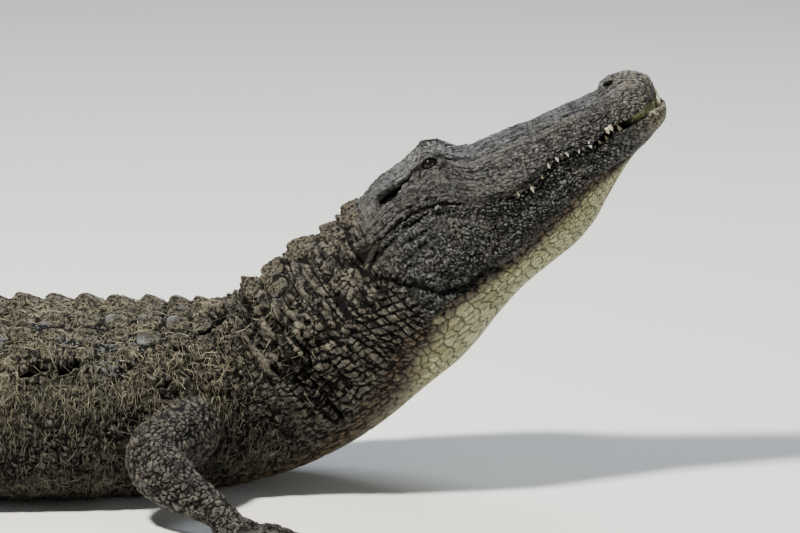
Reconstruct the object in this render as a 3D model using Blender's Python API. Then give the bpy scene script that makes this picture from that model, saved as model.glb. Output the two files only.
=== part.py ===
"""An adult American alligator at life size, lying on its belly with its head and swollen throat raised.

The frame is +X forward, +Y to the animal's left and +Z up, in metres. The floor is z = 0, and the origin
lies on the flat of the belly, half way along the trunk. Head, neck, torso and tail are lengths of one lofted
form that follows a bent axis. Every other piece is placed from that form by the same functions.
"""

import math

import bmesh
import bpy
import numpy as np

# Driving dimensions, in metres, measured along the axis from the tip of the snout
HEAD_END = 0.47
NECK_END = 0.722
TRUNK_END = 1.76
TAIL_BASE_END = 2.16
TAIL_MIDDLE_END = 2.64
TOTAL_LENGTH = 3.44

AXIS_HEIGHT = 0.175
BELLY_STATION = 1.25
GAP = 0.0003
FLOOR_CUT = 0.004

# The axis climbs this many degrees towards the snout at each distance from it
PITCH = [(0, 30), (0.47, 30), (0.54, 38), (0.62, 44), (0.70, 38), (0.78, 20), (0.86, 4), (0.92, 0), (3.44, 0)]
# The axis turns this many degrees to the left of +X
HEADING = [(0, 0), (1.40, 0), (1.90, -14), (2.30, -8), (2.70, 12), (3.10, 25), (3.44, 30)]

# Cross sections: distance from the snout, half width, then top, widest level and underside as heights over
# the axis, then how square the upper and lower halves are (2 is an ellipse)
SECTIONS = [
    (0.000, 0.011, 0.011, -0.010, -0.023, 2.2, 2.2),
    (0.004, 0.024, 0.020, -0.014, -0.030, 2.2, 2.2),
    (0.012, 0.039, 0.030, -0.018, -0.0385, 2.2, 2.2),
    (0.026, 0.056, 0.042, -0.018, -0.046, 2.2, 2.2),
    (0.045, 0.068, 0.0505, -0.016, -0.0525, 2.2, 2.2),
    (0.065, 0.075, 0.0545, -0.015, -0.059, 2.2, 2.3),
    (0.080, 0.0755, 0.0525, -0.0155, -0.063, 2.2, 2.3),
    (0.091, 0.075, 0.0455, -0.016, -0.067, 2.2, 2.3),
    (0.113, 0.075, 0.043, -0.018, -0.078, 2.3, 2.2),
    (0.155, 0.081, 0.0475, -0.020, -0.103, 2.3, 2.0),
    (0.195, 0.087, 0.051, -0.024, -0.128, 2.2, 1.9),
    (0.237, 0.094, 0.058, -0.030, -0.143, 2.1, 1.9),
    (0.280, 0.102, 0.065, -0.038, -0.150, 2.0, 1.9),
    (0.330, 0.120, 0.073, -0.050, -0.158, 1.9, 2.0),
    (0.390, 0.146, 0.087, -0.062, -0.177, 1.8, 2.0),
    (0.440, 0.163, 0.086, -0.070, -0.197, 1.8, 2.0),
    (0.490, 0.168, 0.076, -0.070, -0.210, 1.9, 2.0),
    (0.550, 0.168, 0.068, -0.062, -0.212, 2.0, 2.0),
    (0.630, 0.164, 0.078, -0.055, -0.210, 2.1, 2.0),
    (0.690, 0.155, 0.074, -0.050, -0.205, 2.2, 2.0),
    (0.745, 0.148, 0.082, -0.045, -0.196, 2.2, 2.1),
    (0.800, 0.158, 0.086, -0.045, -0.186, 2.2, 2.3),
    (0.870, 0.195, 0.091, -0.050, -0.180, 2.2, 2.6),
    (1.000, 0.228, 0.093, -0.055, -0.179, 2.2, 2.8),
    (1.200, 0.240, 0.094, -0.055, -0.179, 2.2, 2.8),
    (1.400, 0.232, 0.091, -0.055, -0.179, 2.2, 2.8),
    (1.580, 0.192, 0.081, -0.058, -0.179, 2.1, 2.6),
    (1.720, 0.148, 0.063, -0.065, -0.179, 2.0, 2.4),
    (1.900, 0.116, 0.037, -0.080, -0.179, 1.8, 2.3),
    (2.150, 0.084, 0.000, -0.098, -0.179, 1.7, 2.3),
    (2.400, 0.061, -0.033, -0.114, -0.179, 1.6, 2.2),
    (2.650, 0.043, -0.062, -0.127, -0.179, 1.6, 2.2),
    (2.900, 0.030, -0.090, -0.139, -0.179, 1.6, 2.2),
    (3.150, 0.019, -0.118, -0.151, -0.179, 1.6, 2.2),
    (3.350, 0.010, -0.143, -0.162, -0.179, 1.7, 2.2),
    (3.440, 0.004, -0.164, -0.170, -0.179, 1.8, 2.2),
]

# The line of the mouth: distance from the snout and height over the axis
MOUTH = [
    (0.00, -0.015), (0.03, -0.0105), (0.075, -0.0095), (0.105, -0.0115), (0.128, -0.0145), (0.155, -0.0085),
    (0.180, -0.003), (0.205, -0.008), (0.235, -0.019), (0.280, -0.018), (0.315, -0.006), (0.350, 0.017),
    (0.375, 0.030), (0.410, 0.037), (0.440, 0.035), (0.47, 0.030), (0.51, 0.020), (0.54, 0.012),
]
MOUTH_GAP = [
    (0.0, 0.0110), (0.03, 0.0135), (0.05, 0.0130), (0.07, 0.0122), (0.105, 0.0105), (0.14, 0.0065), (0.20, 0.0045),
    (0.26, 0.0035), (0.30, 0.0015), (0.33, GAP), (0.54, GAP),
]
LOWER_JAW_INSET = [(0.0, 0.000), (0.02, 0.004), (0.05, 0.007), (0.24, 0.007), (0.32, 0.0), (0.47, 0.0)]
# How far the tips of the jaws lie behind the front of the form, and how far back the upper jaw is set back
LOWER_JAW_TIP = 0.013
UPPER_JAW_TIP = 0.022
UPPER_JAW_BEND = 0.06

# Eyes, given by distance from the snout, distance from the midline and height over the axis
EYE = (0.362, 0.050, 0.080)
EYE_RADIUS = 0.0155
LID_SIZE = (0.030, 0.0200, 0.0185)
LID_OPENING = (0.0145, 0.0085, 0.014)
LID_OPENING_AHEAD = 0.019
BROW_HEIGHT = 0.026
BROW_LENGTH = 0.028
BROW_WIDTH = 0.021
BROW_PLACE = (0.357, 0.045)
ORBIT_REACH = 0.009
ORBIT_HEIGHT = 0.064

NOSTRIL = (0.071, 0.0140)
NOSTRIL_SIZE = (0.0085, 0.0036, 0.006)
EAR_SLIT = ((0.384, 0.0815), (0.446, 0.069))
EAR_SLIT_SIZE = (0.034, 0.0045, 0.010)

# Upper teeth hang outside the lower jaw: distance from the snout and visible length
UPPER_TEETH = [
    (0.0960, 0.0040), (0.1030, 0.0045), (0.136, 0.0065), (0.155, 0.0075), (0.172, 0.0080), (0.189, 0.0070),
    (0.205, 0.004), (0.222, 0.004), (0.243, 0.0120), (0.265, 0.006),
]
LOWER_TEETH = [
    (0.0200, 0.022), (0.0857, 0.0105), (0.0960, 0.0050), (0.110, 0.0060), (0.122, 0.0065), (0.1465, 0.0070),
]
TOOTH_RADIUS = 0.0035
TOOTH_ROOT = 0.006
TOOTH_CLEARANCE = 0.0006

# Plates along the back: distance from the snout of the first row, spacing and number of rows
BACK_FIRST_ROW = 0.806
BACK_ROW_SPACING = 0.0485
BACK_ROWS = 17
BACK_COLUMN_SPACING = 0.047
NUCHAL_PLATES = [
    (0.585, 0.026, 0.046, 0.044, 0.013), (0.640, 0.028, 0.044, 0.048, 0.011), (0.640, 0.082, 0.036, 0.034, 0.010),
    (0.686, 0.024, 0.036, 0.036, 0.021),
]
OCCIPITAL_PLATES = [(0.502, 0.018, 0.024, 0.022, 0.009), (0.502, 0.050, 0.026, 0.024, 0.010)]
OCCIPITAL_PLATES += [(0.545, 0.034, 0.022, 0.020, 0.008)]

# Tail crests: distance from the snout and height of the blades
CREST_HEIGHT = [(1.74, 0.014), (2.00, 0.024), (2.40, 0.038), (2.80, 0.038), (3.10, 0.028), (3.42, 0.010)]
CREST_SPACING = [(1.74, 0.050), (2.60, 0.047), (3.44, 0.033)]
CREST_MERGE = 2.56
CREST_ROOT = 0.012
CREST_END = 3.40

# Legs on the right side, as joints (x, y, z) with half width and half height at each, and the joint numbers
# where they are cut. The last joint lies inside the foot
FRONT_LEG = {
    "joints": [
        ((0.425, -0.060, 0.130), 0.052, 0.060),
        ((0.400, -0.175, 0.116), 0.050, 0.055),
        ((0.358, -0.262, 0.094), 0.043, 0.046),
        ((0.392, -0.318, 0.068), 0.037, 0.038),
        ((0.446, -0.350, 0.042), 0.027, 0.026),
        ((0.478, -0.370, 0.020), 0.024, 0.018),
    ],
    "cuts": (2.15, 4.1),
}
HIND_LEG = {
    "joints": [
        ((-0.370, -0.040, 0.120), 0.078, 0.080),
        ((-0.320, -0.165, 0.124), 0.076, 0.080),
        ((-0.250, -0.272, 0.114), 0.055, 0.060),
        ((-0.285, -0.338, 0.086), 0.043, 0.046),
        ((-0.345, -0.372, 0.054), 0.031, 0.034),
        ((-0.352, -0.396, 0.026), 0.028, 0.024),
    ],
    "cuts": (2.2, 4.1),
}
# Feet: where they point, the palm as (distance ahead of the last joint, half width, half height), the toes as
# (turn, length) from the inner one outwards, and how far the web reaches along them
FRONT_FOOT = {
    "heading": -30,
    "palm": [
        (-0.030, 0.015, 0.012), (-0.016, 0.025, 0.019), (0.008, 0.030, 0.019), (0.030, 0.036, 0.015),
        (0.046, 0.034, 0.010),
    ],
    "knuckles": 0.030,
    "toes": [(62, 0.046), (32, 0.064), (4, 0.070), (-24, 0.062), (-54, 0.046)],
    "toe_spread": 0.026,
    "toe_radius": 0.0115,
    "clawed_toes": 3,
    "claw_length": 0.015,
    "web": 0.36,
}
HIND_FOOT = {
    "heading": -40,
    "palm": [
        (-0.050, 0.017, 0.017), (-0.030, 0.029, 0.026), (0.004, 0.033, 0.025), (0.044, 0.041, 0.018),
        (0.076, 0.042, 0.011),
    ],
    "knuckles": 0.060,
    "toes": [(36, 0.080), (12, 0.106), (-12, 0.108), (-38, 0.084)],
    "toe_spread": 0.034,
    "toe_radius": 0.0135,
    "clawed_toes": 3,
    "claw_length": 0.018,
    "web": 0.66,
}
# A toe's rings: share of its length, height and size in toe radii
TOE_RINGS = [(-0.25, 0.85, 0.95), (0.35, 1.00, 1.0), (0.78, 0.72, 0.84), (1.0, 0.45, 0.42)]
# How far the left legs lie ahead of the mirrored right ones, as a resting animal holds them
LEFT_FRONT_SHIFT = 0.028
LEFT_HIND_SHIFT = -0.030

COLOURS = {
    "hide": (0.060, 0.056, 0.050),
    "throat": (0.300, 0.290, 0.210),
    "eye": (0.030, 0.028, 0.020),
}


def smooth_curve(knots):
    """A function through (x, value) knots that never overshoots them."""
    xs, ys = np.array(knots, float).T
    steps, slopes = np.diff(xs), np.diff(ys) / np.diff(xs)
    inner = np.where(slopes[1:] * slopes[:-1] > 0, 1.0, 0.0)
    blend = (2 * steps[1:] + steps[:-1], steps[1:] + 2 * steps[:-1])
    with np.errstate(divide="ignore", invalid="ignore"):
        mean = (blend[0] + blend[1]) / (blend[0] / slopes[:-1] + blend[1] / slopes[1:])
    tangents = np.concatenate([[slopes[0]], np.where(inner > 0, np.nan_to_num(mean), 0.0), [slopes[-1]]])

    def value(x):
        x = np.clip(np.asarray(x, float), xs[0], xs[-1])
        i = np.clip(np.searchsorted(xs, x, "right") - 1, 0, len(steps) - 1)
        h = steps[i]
        t = (x - xs[i]) / h
        start = (1 + 2 * t) * (1 - t) ** 2 * ys[i] + t * (1 - t) ** 2 * h * tangents[i]
        return start + t * t * (3 - 2 * t) * ys[i + 1] + t * t * (t - 1) * h * tangents[i + 1]

    return value


def upper_setback(s, rise):
    """How far the front of the upper jaw lies behind that of the lower one, less towards its top."""
    share = np.clip(1 - s / UPPER_JAW_BEND, 0, 1) ** 1.5
    return UPPER_JAW_TIP * share * (1 - 0.6 * np.clip(rise / 0.04, 0, 1))


def section_curves():
    """One smooth curve along the axis for each column of SECTIONS."""
    table = np.array(SECTIONS)
    names = ("half_width", "top", "widest", "low", "upper_power", "lower_power")
    return {name: smooth_curve(list(zip(table[:, 0], table[:, i + 1]))) for i, name in enumerate(names)}


FORM = section_curves()
pitch_at = smooth_curve(PITCH)
heading_at = smooth_curve(HEADING)
mouth_at = smooth_curve(MOUTH)
mouth_gap_at = smooth_curve(MOUTH_GAP)
inset_at = smooth_curve(LOWER_JAW_INSET)


def directions(s):
    """Unit vectors forward, left and up of the axis at distance s from the snout."""
    pitch, heading = np.radians(pitch_at(s)), np.radians(heading_at(s))
    level = np.stack([np.cos(heading), np.sin(heading), np.zeros_like(heading)], -1)
    left = np.stack([-np.sin(heading), np.cos(heading), np.zeros_like(heading)], -1)
    rise = np.array([0.0, 0.0, 1.0])
    forward = level * np.cos(pitch)[..., None] + rise * np.sin(pitch)[..., None]
    up = rise * np.cos(pitch)[..., None] - level * np.sin(pitch)[..., None]
    return forward, left, up


def walk_axis():
    """Points of the axis at even steps from the snout, with the belly's station over the origin."""
    steps = np.linspace(0, TOTAL_LENGTH, 1721)
    forward = directions(steps)[0]
    middles = (forward[1:] + forward[:-1]) / 2
    points = np.concatenate([np.zeros((1, 3)), -np.cumsum(middles * np.diff(steps)[:, None], 0)])
    anchor = [np.interp(BELLY_STATION, steps, points[:, i]) for i in range(3)]
    return steps, points - np.array(anchor) + np.array([0, 0, AXIS_HEIGHT])


AXIS_STEPS, AXIS_POINTS = walk_axis()


def axis_point(s):
    return np.stack([np.interp(s, AXIS_STEPS, AXIS_POINTS[:, i]) for i in range(3)], -1)


def section(s, theta):
    """(distance to the left, height over the axis) on the form. Theta runs from 0 on top to pi below."""
    s, theta = np.broadcast_arrays(np.asarray(s, float), np.asarray(theta, float))
    upper = np.cos(theta) >= 0
    power = np.where(upper, FORM["upper_power"](s), FORM["lower_power"](s))
    reach = np.where(upper, FORM["top"](s) - FORM["widest"](s), FORM["widest"](s) - FORM["low"](s))
    across = np.sign(np.sin(theta)) * np.abs(np.sin(theta)) ** (2 / power) * FORM["half_width"](s)
    height = FORM["widest"](s) + np.sign(np.cos(theta)) * np.abs(np.cos(theta)) ** (2 / power) * reach
    out, lift = head_relief(s, across, height)
    return across + out, height + lift


def head_relief(s, across, height):
    """Brows, edges of the flat skull roof and hollow before the eyes, as added reach and added height."""
    brow_s, brow_y = BROW_PLACE
    above = np.clip((height - FORM["widest"](s)) / 0.08, 0, 1)
    away = (np.abs(across) - brow_y) / BROW_WIDTH
    brow = BROW_HEIGHT * np.exp(-(((s - brow_s) / BROW_LENGTH) ** 2) - away**2)
    behind = np.clip((s - brow_s) / 0.03, 0, 1) * np.clip((HEAD_END + 0.03 - s) / 0.06, 0, 1)
    edge = 0.012 * behind * np.exp(-(((np.abs(across) - 0.056) / 0.015) ** 2))
    hollow = -0.008 * np.exp(-(((s - 0.31) / 0.03) ** 2) - (across / 0.03) ** 2)
    orbit = ORBIT_REACH * np.exp(-(((s - brow_s) / 0.034) ** 2) - ((height - ORBIT_HEIGHT) / 0.026) ** 2)
    return np.sign(across) * orbit, above * (brow + edge + hollow)


def surface(s, theta):
    """Points of the form in the object's frame."""
    across, height = section(s, theta)
    s = np.broadcast_to(np.asarray(s, float), across.shape)
    _, left, up = directions(s)
    return axis_point(s) + left * across[..., None] + up * height[..., None]


def placed(s, across, height):
    """The point that is so far left of and over the axis at s."""
    s = np.asarray(float(s))
    _, left, up = directions(s)
    return axis_point(s) + left * across + up * height


def theta_at_girth(s, girth):
    """The theta that lies so far from the midline of the back, along the hide."""
    theta = np.linspace(0, math.pi, 181)
    across, height = section(s, theta)
    run = np.concatenate([[0], np.cumsum(np.hypot(np.diff(across), np.diff(height)))])
    return float(np.interp(abs(girth), run, theta)) * (1 if girth >= 0 else -1)


def surface_frame(s, theta):
    """A point of the form with its outward normal and the direction towards the tail, both along the hide."""
    step = 1e-3
    here = surface(s, theta)
    back = surface(s + step, theta) - surface(s - step, theta)
    round_ = surface(s, theta + step) - surface(s, theta - step)
    normal = np.cross(back, round_)
    back, normal = back / np.linalg.norm(back), normal / np.linalg.norm(normal)
    if normal @ (here - axis_point(s)) < 0:
        normal = -normal
    return here, normal, back


def clear_scene():
    for old in list(bpy.data.objects):
        bpy.data.objects.remove(old, do_unlink=True)


def new_object(name, vertices, faces):
    """A mesh object of triangles that all face out."""
    mesh = bpy.data.meshes.new(name)
    mesh.from_pydata([tuple(map(float, v)) for v in vertices], [], [tuple(map(int, f)) for f in faces])
    shape = bmesh.new()
    shape.from_mesh(mesh)
    bmesh.ops.triangulate(shape, faces=shape.faces)
    bmesh.ops.recalc_face_normals(shape, faces=shape.faces)
    shape.to_mesh(mesh)
    shape.free()
    made = bpy.data.objects.new(name, mesh)
    bpy.context.scene.collection.objects.link(made)
    return made


def loft(name, rings):
    """A closed solid through rings of equal length, with flat ends."""
    rings = np.asarray(rings)
    count, size = rings.shape[:2]
    faces = [tuple(range(size)), tuple((count - 1) * size + j for j in range(size))]
    for i in range(count - 1):
        for j in range(size):
            k = (j + 1) % size
            faces.append((i * size + j, i * size + k, (i + 1) * size + k, (i + 1) * size + j))
    return new_object(name, rings.reshape(-1, 3), faces)


def boolean(target, tool, operation):
    """Joins a tool or a list of them to target, or cuts them from it, and applies the result."""
    modifier = target.modifiers.new(operation.lower(), "BOOLEAN")
    modifier.operation = operation
    modifier.solver = "EXACT"
    tools = tool if isinstance(tool, list) else [tool]
    group = bpy.data.collections.new("tools")
    bpy.context.scene.collection.children.link(group)
    for one in tools:
        bpy.context.scene.collection.objects.unlink(one)
        group.objects.link(one)
    modifier.operand_type = "COLLECTION"
    modifier.collection = group
    bpy.context.view_layer.objects.active = target
    bpy.context.view_layer.update()
    bpy.ops.object.modifier_apply(modifier=modifier.name)
    for one in tools:
        bpy.data.objects.remove(one, do_unlink=True)
    bpy.data.collections.remove(group)
    keep_largest(target)
    return target


def signed_volume(face):
    """Six times the volume between a triangle and the origin."""
    first, second, third = (vertex.co for vertex in face.verts)
    return first.dot(second.cross(third))


def keep_largest(target):
    """Drops every closed surface of target but the one with the most volume."""
    shape = bmesh.new()
    shape.from_mesh(target.data)
    bmesh.ops.triangulate(shape, faces=shape.faces)
    shape.faces.ensure_lookup_table()
    unseen, islands = set(shape.faces), []
    while unseen:
        front = [unseen.pop()]
        island = list(front)
        while front:
            face = front.pop()
            for edge in face.edges:
                for other in edge.link_faces:
                    if other in unseen:
                        unseen.remove(other)
                        front.append(other)
                        island.append(other)
        islands.append(island)
    if len(islands) > 1:
        volumes = [abs(sum(signed_volume(face) for face in one)) for one in islands]
        kept = islands[int(np.argmax(volumes))]
        dropped = [face for one in islands if one is not kept for face in one]
        bmesh.ops.delete(shape, geom=dropped, context="FACES")
        shape.to_mesh(target.data)
    shape.free()


def floor_box():
    """A slab whose top is the floor, longer and wider than the animal."""
    half = 2.6
    corners = [(x, y, z) for z in (-0.2, 0.0) for x, y in ((-half, -1), (half, -1), (half, 1), (-half, 1))]
    faces = [(3, 2, 1, 0), (4, 5, 6, 7), (0, 1, 5, 4), (1, 2, 6, 5), (2, 3, 7, 6), (3, 0, 4, 7)]
    return new_object("floor_cutter", corners, faces)


def inflated(source, name, distance):
    """A copy of a solid whose hide stands out by distance."""
    copy = source.copy()
    copy.data = source.data.copy()
    copy.name = name
    bpy.context.scene.collection.objects.link(copy)
    shape = bmesh.new()
    shape.from_mesh(copy.data)
    shape.normal_update()
    moves = [(vertex, vertex.normal * distance * vertex.calc_shell_factor()) for vertex in shape.verts]
    for vertex, move in moves:
        vertex.co += move
    shape.to_mesh(copy.data)
    shape.free()
    return copy


def ellipsoid(name, centre, axes, sizes, rings=6, sides=8):
    """A closed ellipsoid with its half sizes along three directions."""
    axes = np.array(axes, float)
    points = []
    for i in range(1, rings):
        lift = math.pi * i / rings
        for j in range(sides):
            turn = 2 * math.pi * j / sides
            local = (math.sin(lift) * math.cos(turn), math.sin(lift) * math.sin(turn), math.cos(lift))
            points.append(centre + sum(axes[k] * sizes[k] * local[k] for k in range(3)))
    poles = [centre + axes[2] * sizes[2], centre - axes[2] * sizes[2]]
    faces = []
    for i in range(rings - 2):
        for j in range(sides):
            k = (j + 1) % sides
            faces.append((i * sides + j, i * sides + k, (i + 1) * sides + k, (i + 1) * sides + j))
    top, bottom = len(points), len(points) + 1
    for j in range(sides):
        k = (j + 1) % sides
        faces.append((top, k, j))
        last = (rings - 2) * sides
        faces.append((bottom, last + j, last + k))
    return new_object(name, points + poles, faces)


def spike(name, root, direction, length, radius, sides=6, depth=TOOTH_ROOT):
    """A cone whose base is sunk by depth behind its root."""
    direction = np.array(direction) / np.linalg.norm(direction)
    helper = np.array([0.0, 1.0, 0.0]) if abs(direction[1]) < 0.8 else np.array([1.0, 0.0, 0.0])
    first = np.cross(direction, helper)
    first /= np.linalg.norm(first)
    second = np.cross(direction, first)
    turns = np.linspace(0, 2 * math.pi, sides, endpoint=False)
    base = [root - direction * depth + radius * (first * math.cos(t) + second * math.sin(t)) for t in turns]
    tip = root + direction * length
    faces = [tuple(range(sides))] + [(i, (i + 1) % sides, sides) for i in range(sides)]
    return new_object(name, base + [tip], faces)


def keeled_plate(name, s, girth, length, width, height, sink=0.006):
    """A bony plate with a low rim, a keel that rises towards the tail and its root sunk in the hide."""
    here, normal, back = surface_frame(s, theta_at_girth(s, girth))
    side = np.cross(normal, back)

    def corner(along, across, lift):
        return here + back * along * length + side * across * width + normal * lift

    outline = ((-0.48, -0.38), (0.46, -0.48), (0.46, 0.48), (-0.48, 0.38))
    points = [corner(a, b, -sink) for a, b in outline]
    points += [corner(a, b, height * 0.28) for a, b in outline]
    points += [corner(-0.24, 0.0, height * 0.70), corner(0.30, 0.0, height)]
    faces = [(0, 1, 2, 3), (0, 1, 5, 4), (1, 2, 6, 5), (2, 3, 7, 6), (3, 0, 4, 7)]
    faces += [(4, 5, 9, 8), (6, 7, 8, 9), (5, 6, 9), (7, 4, 8)]
    return new_object(name, points, faces)


def crest_blade(name, s, girth, length, height, lean):
    """An upright blade on the tail, swept back, thick at its root and thin along its edge."""
    here, _, back = surface_frame(s, theta_at_girth(s, girth))
    upright = np.array([0.0, 0.0, 1.0])
    side = np.cross(upright, back)
    half = 0.20 * length
    root = here - upright * CREST_ROOT
    outline = ((-0.5, -1), (0.5, -1), (0.5, 1), (-0.5, 1))
    points = [root + back * a * length + side * b * half for a, b in outline]
    points += [here + back * a * length + (upright + side * lean) * height for a in (0.02, 0.56)]
    points[4] -= upright * height * 0.22
    faces = [(0, 1, 2, 3), (0, 1, 5, 4), (2, 3, 4, 5), (1, 2, 5), (3, 0, 4)]
    return new_object(name, points, faces)


def body_length(name, start, end, spacing, sides):
    """A closed length of the form, cut square to the axis, half a gap short at each end."""
    start, end = start + (GAP / 2 if start > 0 else 0), end - (GAP / 2 if end < TOTAL_LENGTH else 0)
    count = max(3, round((end - start) / spacing) + 1)
    theta = np.linspace(-math.pi, math.pi, sides, endpoint=False)
    rings = [surface(s, theta) for s in np.linspace(start, end, count)]
    return loft(name, rings)


def mouth_theta(s):
    """Where the line of the mouth meets the form, as theta."""
    theta = np.linspace(0.2, math.pi - 0.2, 400)
    height = section(s, theta)[1]
    return float(np.interp(-mouth_at(s), -height, theta))


def head_stations():
    """Distances of the head's rings: close together round the blunt snout and at the eyes."""
    snout = [0.0, 0.004, 0.012, 0.026, 0.044, 0.062, 0.080, 0.10, 0.125, 0.155]
    face = [0.185, 0.215, 0.245, 0.275, 0.300, 0.318, 0.332, 0.346, 0.360, 0.376, 0.396, 0.42, 0.445]
    return snout + face + [HEAD_END - GAP / 2]


def upper_head():
    """Skull and upper jaw, from the line of the mouth up."""
    rings = []
    for s in head_stations():
        limit = mouth_theta(s)
        across, height = section(s, np.linspace(-limit, limit, 21))
        height = np.maximum(height, mouth_at(s) + mouth_gap_at(s) / 2)
        forward, left, up = directions(np.full(across.shape, s))
        ring = axis_point(np.full(across.shape, s)) + left * across[:, None] + up * height[:, None]
        rings.append(ring - forward * upper_setback(s, height - mouth_at(s))[:, None])
    return loft("head", rings)


def lower_head():
    """Lower jaw with the swollen throat below it, from the line of the mouth down."""
    rings = []
    for s in [LOWER_JAW_TIP] + [s for s in head_stations() if s > LOWER_JAW_TIP + 0.004]:
        limit = mouth_theta(s)
        across, height = section(s, np.linspace(limit, 2 * math.pi - limit, 23))
        height = np.minimum(height, mouth_at(s) - mouth_gap_at(s) / 2)
        depth = np.clip((height - FORM["low"](s)) / (mouth_at(s) - FORM["low"](s)), 0, 1)
        half = FORM["half_width"](s)
        across = across * (1 - inset_at(s) / half * depth)
        _, left, up = directions(np.full(across.shape, s))
        rings.append(axis_point(np.full(across.shape, s)) + left * across[:, None] + up * height[:, None])
    return loft("lower_jaw", rings)


def teeth(table, upward, margin=0.0):
    """Cones along both sides of a jaw, rooted in it near its edge."""
    made = []
    for number, (s, length) in enumerate(table):
        for side in (-1, 1):
            forward, left, up = directions(np.array(s))
            half = abs(section(s, mouth_theta(s))[0]) - (inset_at(s) + 0.007 if upward else 0.0044)
            level = mouth_at(s) + mouth_gap_at(s) / 2 * (-1 if upward else 1)
            front = upward and number == 0
            root = placed(s, side * (0.012 if front else half), level)
            lean = forward * 0.40 if front else left * side * (0.0 if upward else 0.12)
            direction = (up if upward else -up) + lean
            name = f"tooth_{'low' if upward else 'up'}_{number}_{side}"
            radius = TOOTH_RADIUS * (0.8 + length * 28)
            made.append(spike(name, root, direction, length + margin, radius + margin))
    return made


def eye_centre(side):
    s, across, height = EYE
    return placed(s, side * across, height)


def eye_axes(side):
    """Directions forward, up and outward of the eye, which looks out and a little up."""
    forward, left, up = directions(np.array(EYE[0]))
    outward = left * side * 0.90 + up * 0.34 + forward * 0.10
    outward /= np.linalg.norm(outward)
    along = forward - outward * (forward @ outward)
    along /= np.linalg.norm(along)
    return along, np.cross(outward, along), outward


def finish_head(head, lower):
    """Lids, eye sockets, nostrils, ear slits and teeth."""
    lids = [ellipsoid(f"lid_{side}", eye_centre(side), eye_axes(side), LID_SIZE, 8, 12) for side in (-1, 1)]
    boolean(head, lids, "UNION")
    boolean(head, teeth(UPPER_TEETH, False), "UNION")
    for side in (-1, 1):
        along, lift, outward = eye_axes(side)
        centre = eye_centre(side)
        axes = (along, lift, outward)
        opening = ellipsoid("opening", centre + outward * LID_OPENING_AHEAD - lift * 0.001, axes, LID_OPENING)
        boolean(head, opening, "DIFFERENCE")
        boolean(head, ellipsoid("socket", centre, axes, [EYE_RADIUS + GAP] * 3, 8, 12), "DIFFERENCE")
        s, across = NOSTRIL
        theta = theta_at_girth(s, side * across)
        here, normal, back = surface_frame(s, theta)
        axes = (back, np.cross(normal, back), normal)
        boolean(head, ellipsoid("nostril", here, axes, NOSTRIL_SIZE), "DIFFERENCE")
        (front_s, front_height), (rear_s, rear_height) = EAR_SLIT
        middle = (front_s + rear_s) / 2
        reach = section(middle, np.linspace(0, math.pi / 2, 200))
        height = (front_height + rear_height) / 2
        across = float(np.interp(-height, -reach[1], reach[0]))
        _, left, up = directions(np.array(middle))
        front, rear = placed(front_s, 0, front_height), placed(rear_s, 0, rear_height)
        along = (front - rear) / np.linalg.norm(front - rear)
        outward = left * side
        axes = (along, np.cross(outward, along), outward)
        slit = ellipsoid("ear", placed(middle, side * across, height), axes, EAR_SLIT_SIZE)
        boolean(head, slit, "DIFFERENCE")
    boolean(lower, teeth(LOWER_TEETH, True), "UNION")
    boolean(head, teeth(LOWER_TEETH, True, TOOTH_CLEARANCE), "DIFFERENCE")
    boolean(lower, teeth(UPPER_TEETH, False, TOOTH_CLEARANCE), "DIFFERENCE")


def eyes():
    for side, name in ((-1, "eye_right"), (1, "eye_left")):
        ellipsoid(name, eye_centre(side), eye_axes(side), [EYE_RADIUS] * 3, 8, 12)


def both_sides(table, prefix):
    """A keeled plate on each side of the midline for each row of a table."""
    made = []
    for number, (s, girth, length, width, height) in enumerate(table):
        for side in (-1, 1):
            name = f"{prefix}_{number}_{side}"
            made.append(keeled_plate(name, s, side * girth, length, width, height))
    return made


def back_plates():
    """Rows of keeled plates over the trunk, wider in its middle, with small changes from plate to plate."""
    chance = np.random.default_rng(7)
    table = []
    for row in range(BACK_ROWS):
        s = BACK_FIRST_ROW + row * BACK_ROW_SPACING
        columns = 4 if 4 <= row <= 12 else 3
        for column in range(columns):
            size = 1 - 0.10 * column + 0.06 * chance.uniform(-1, 1)
            length, width = 0.043 * size, 0.043 * size
            height = (0.0125 - 0.0012 * column) * (1 + 0.12 * chance.uniform(-1, 1))
            table.append((s, (column + 0.5) * BACK_COLUMN_SPACING, length, width, height))
    return both_sides(table, "plate")


def crest_rows(start, end):
    """Blades along the top of the tail: two rows, and one where they have met."""
    height_at, spacing_at = smooth_curve(CREST_HEIGHT), smooth_curve(CREST_SPACING)
    made, s = [], CREST_HEIGHT[0][0]
    while s < CREST_END:
        spacing = float(spacing_at(s))
        if start + spacing * 0.5 < s < end - spacing * 0.75:
            paired = s < CREST_MERGE
            girth = 0.25 * float(FORM["half_width"](s)) * (CREST_MERGE - s) / 0.8 + 0.008
            for side in (-1, 1) if paired else (0,):
                name = f"crest_{len(made)}"
                lean = 0.30 * side * (CREST_MERGE - s) / 0.8
                made.append(crest_blade(name, s, side * girth, spacing * 0.92, float(height_at(s)), lean))
        s += spacing
    return made


def leg_curves(leg, side, shift):
    """Curves for a leg's centre line and two half sizes over its joints. Side is -1 right and 1 left."""
    count = np.arange(len(leg["joints"]))
    points = np.array([joint[0] for joint in leg["joints"]]) * (1, -side, 1) + (shift, 0, 0)
    lines = [smooth_curve(list(zip(count, points[:, k]))) for k in range(3)]
    sizes = [smooth_curve(list(zip(count, [joint[k] for joint in leg["joints"]]))) for k in (1, 2)]
    return lines, sizes


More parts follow.
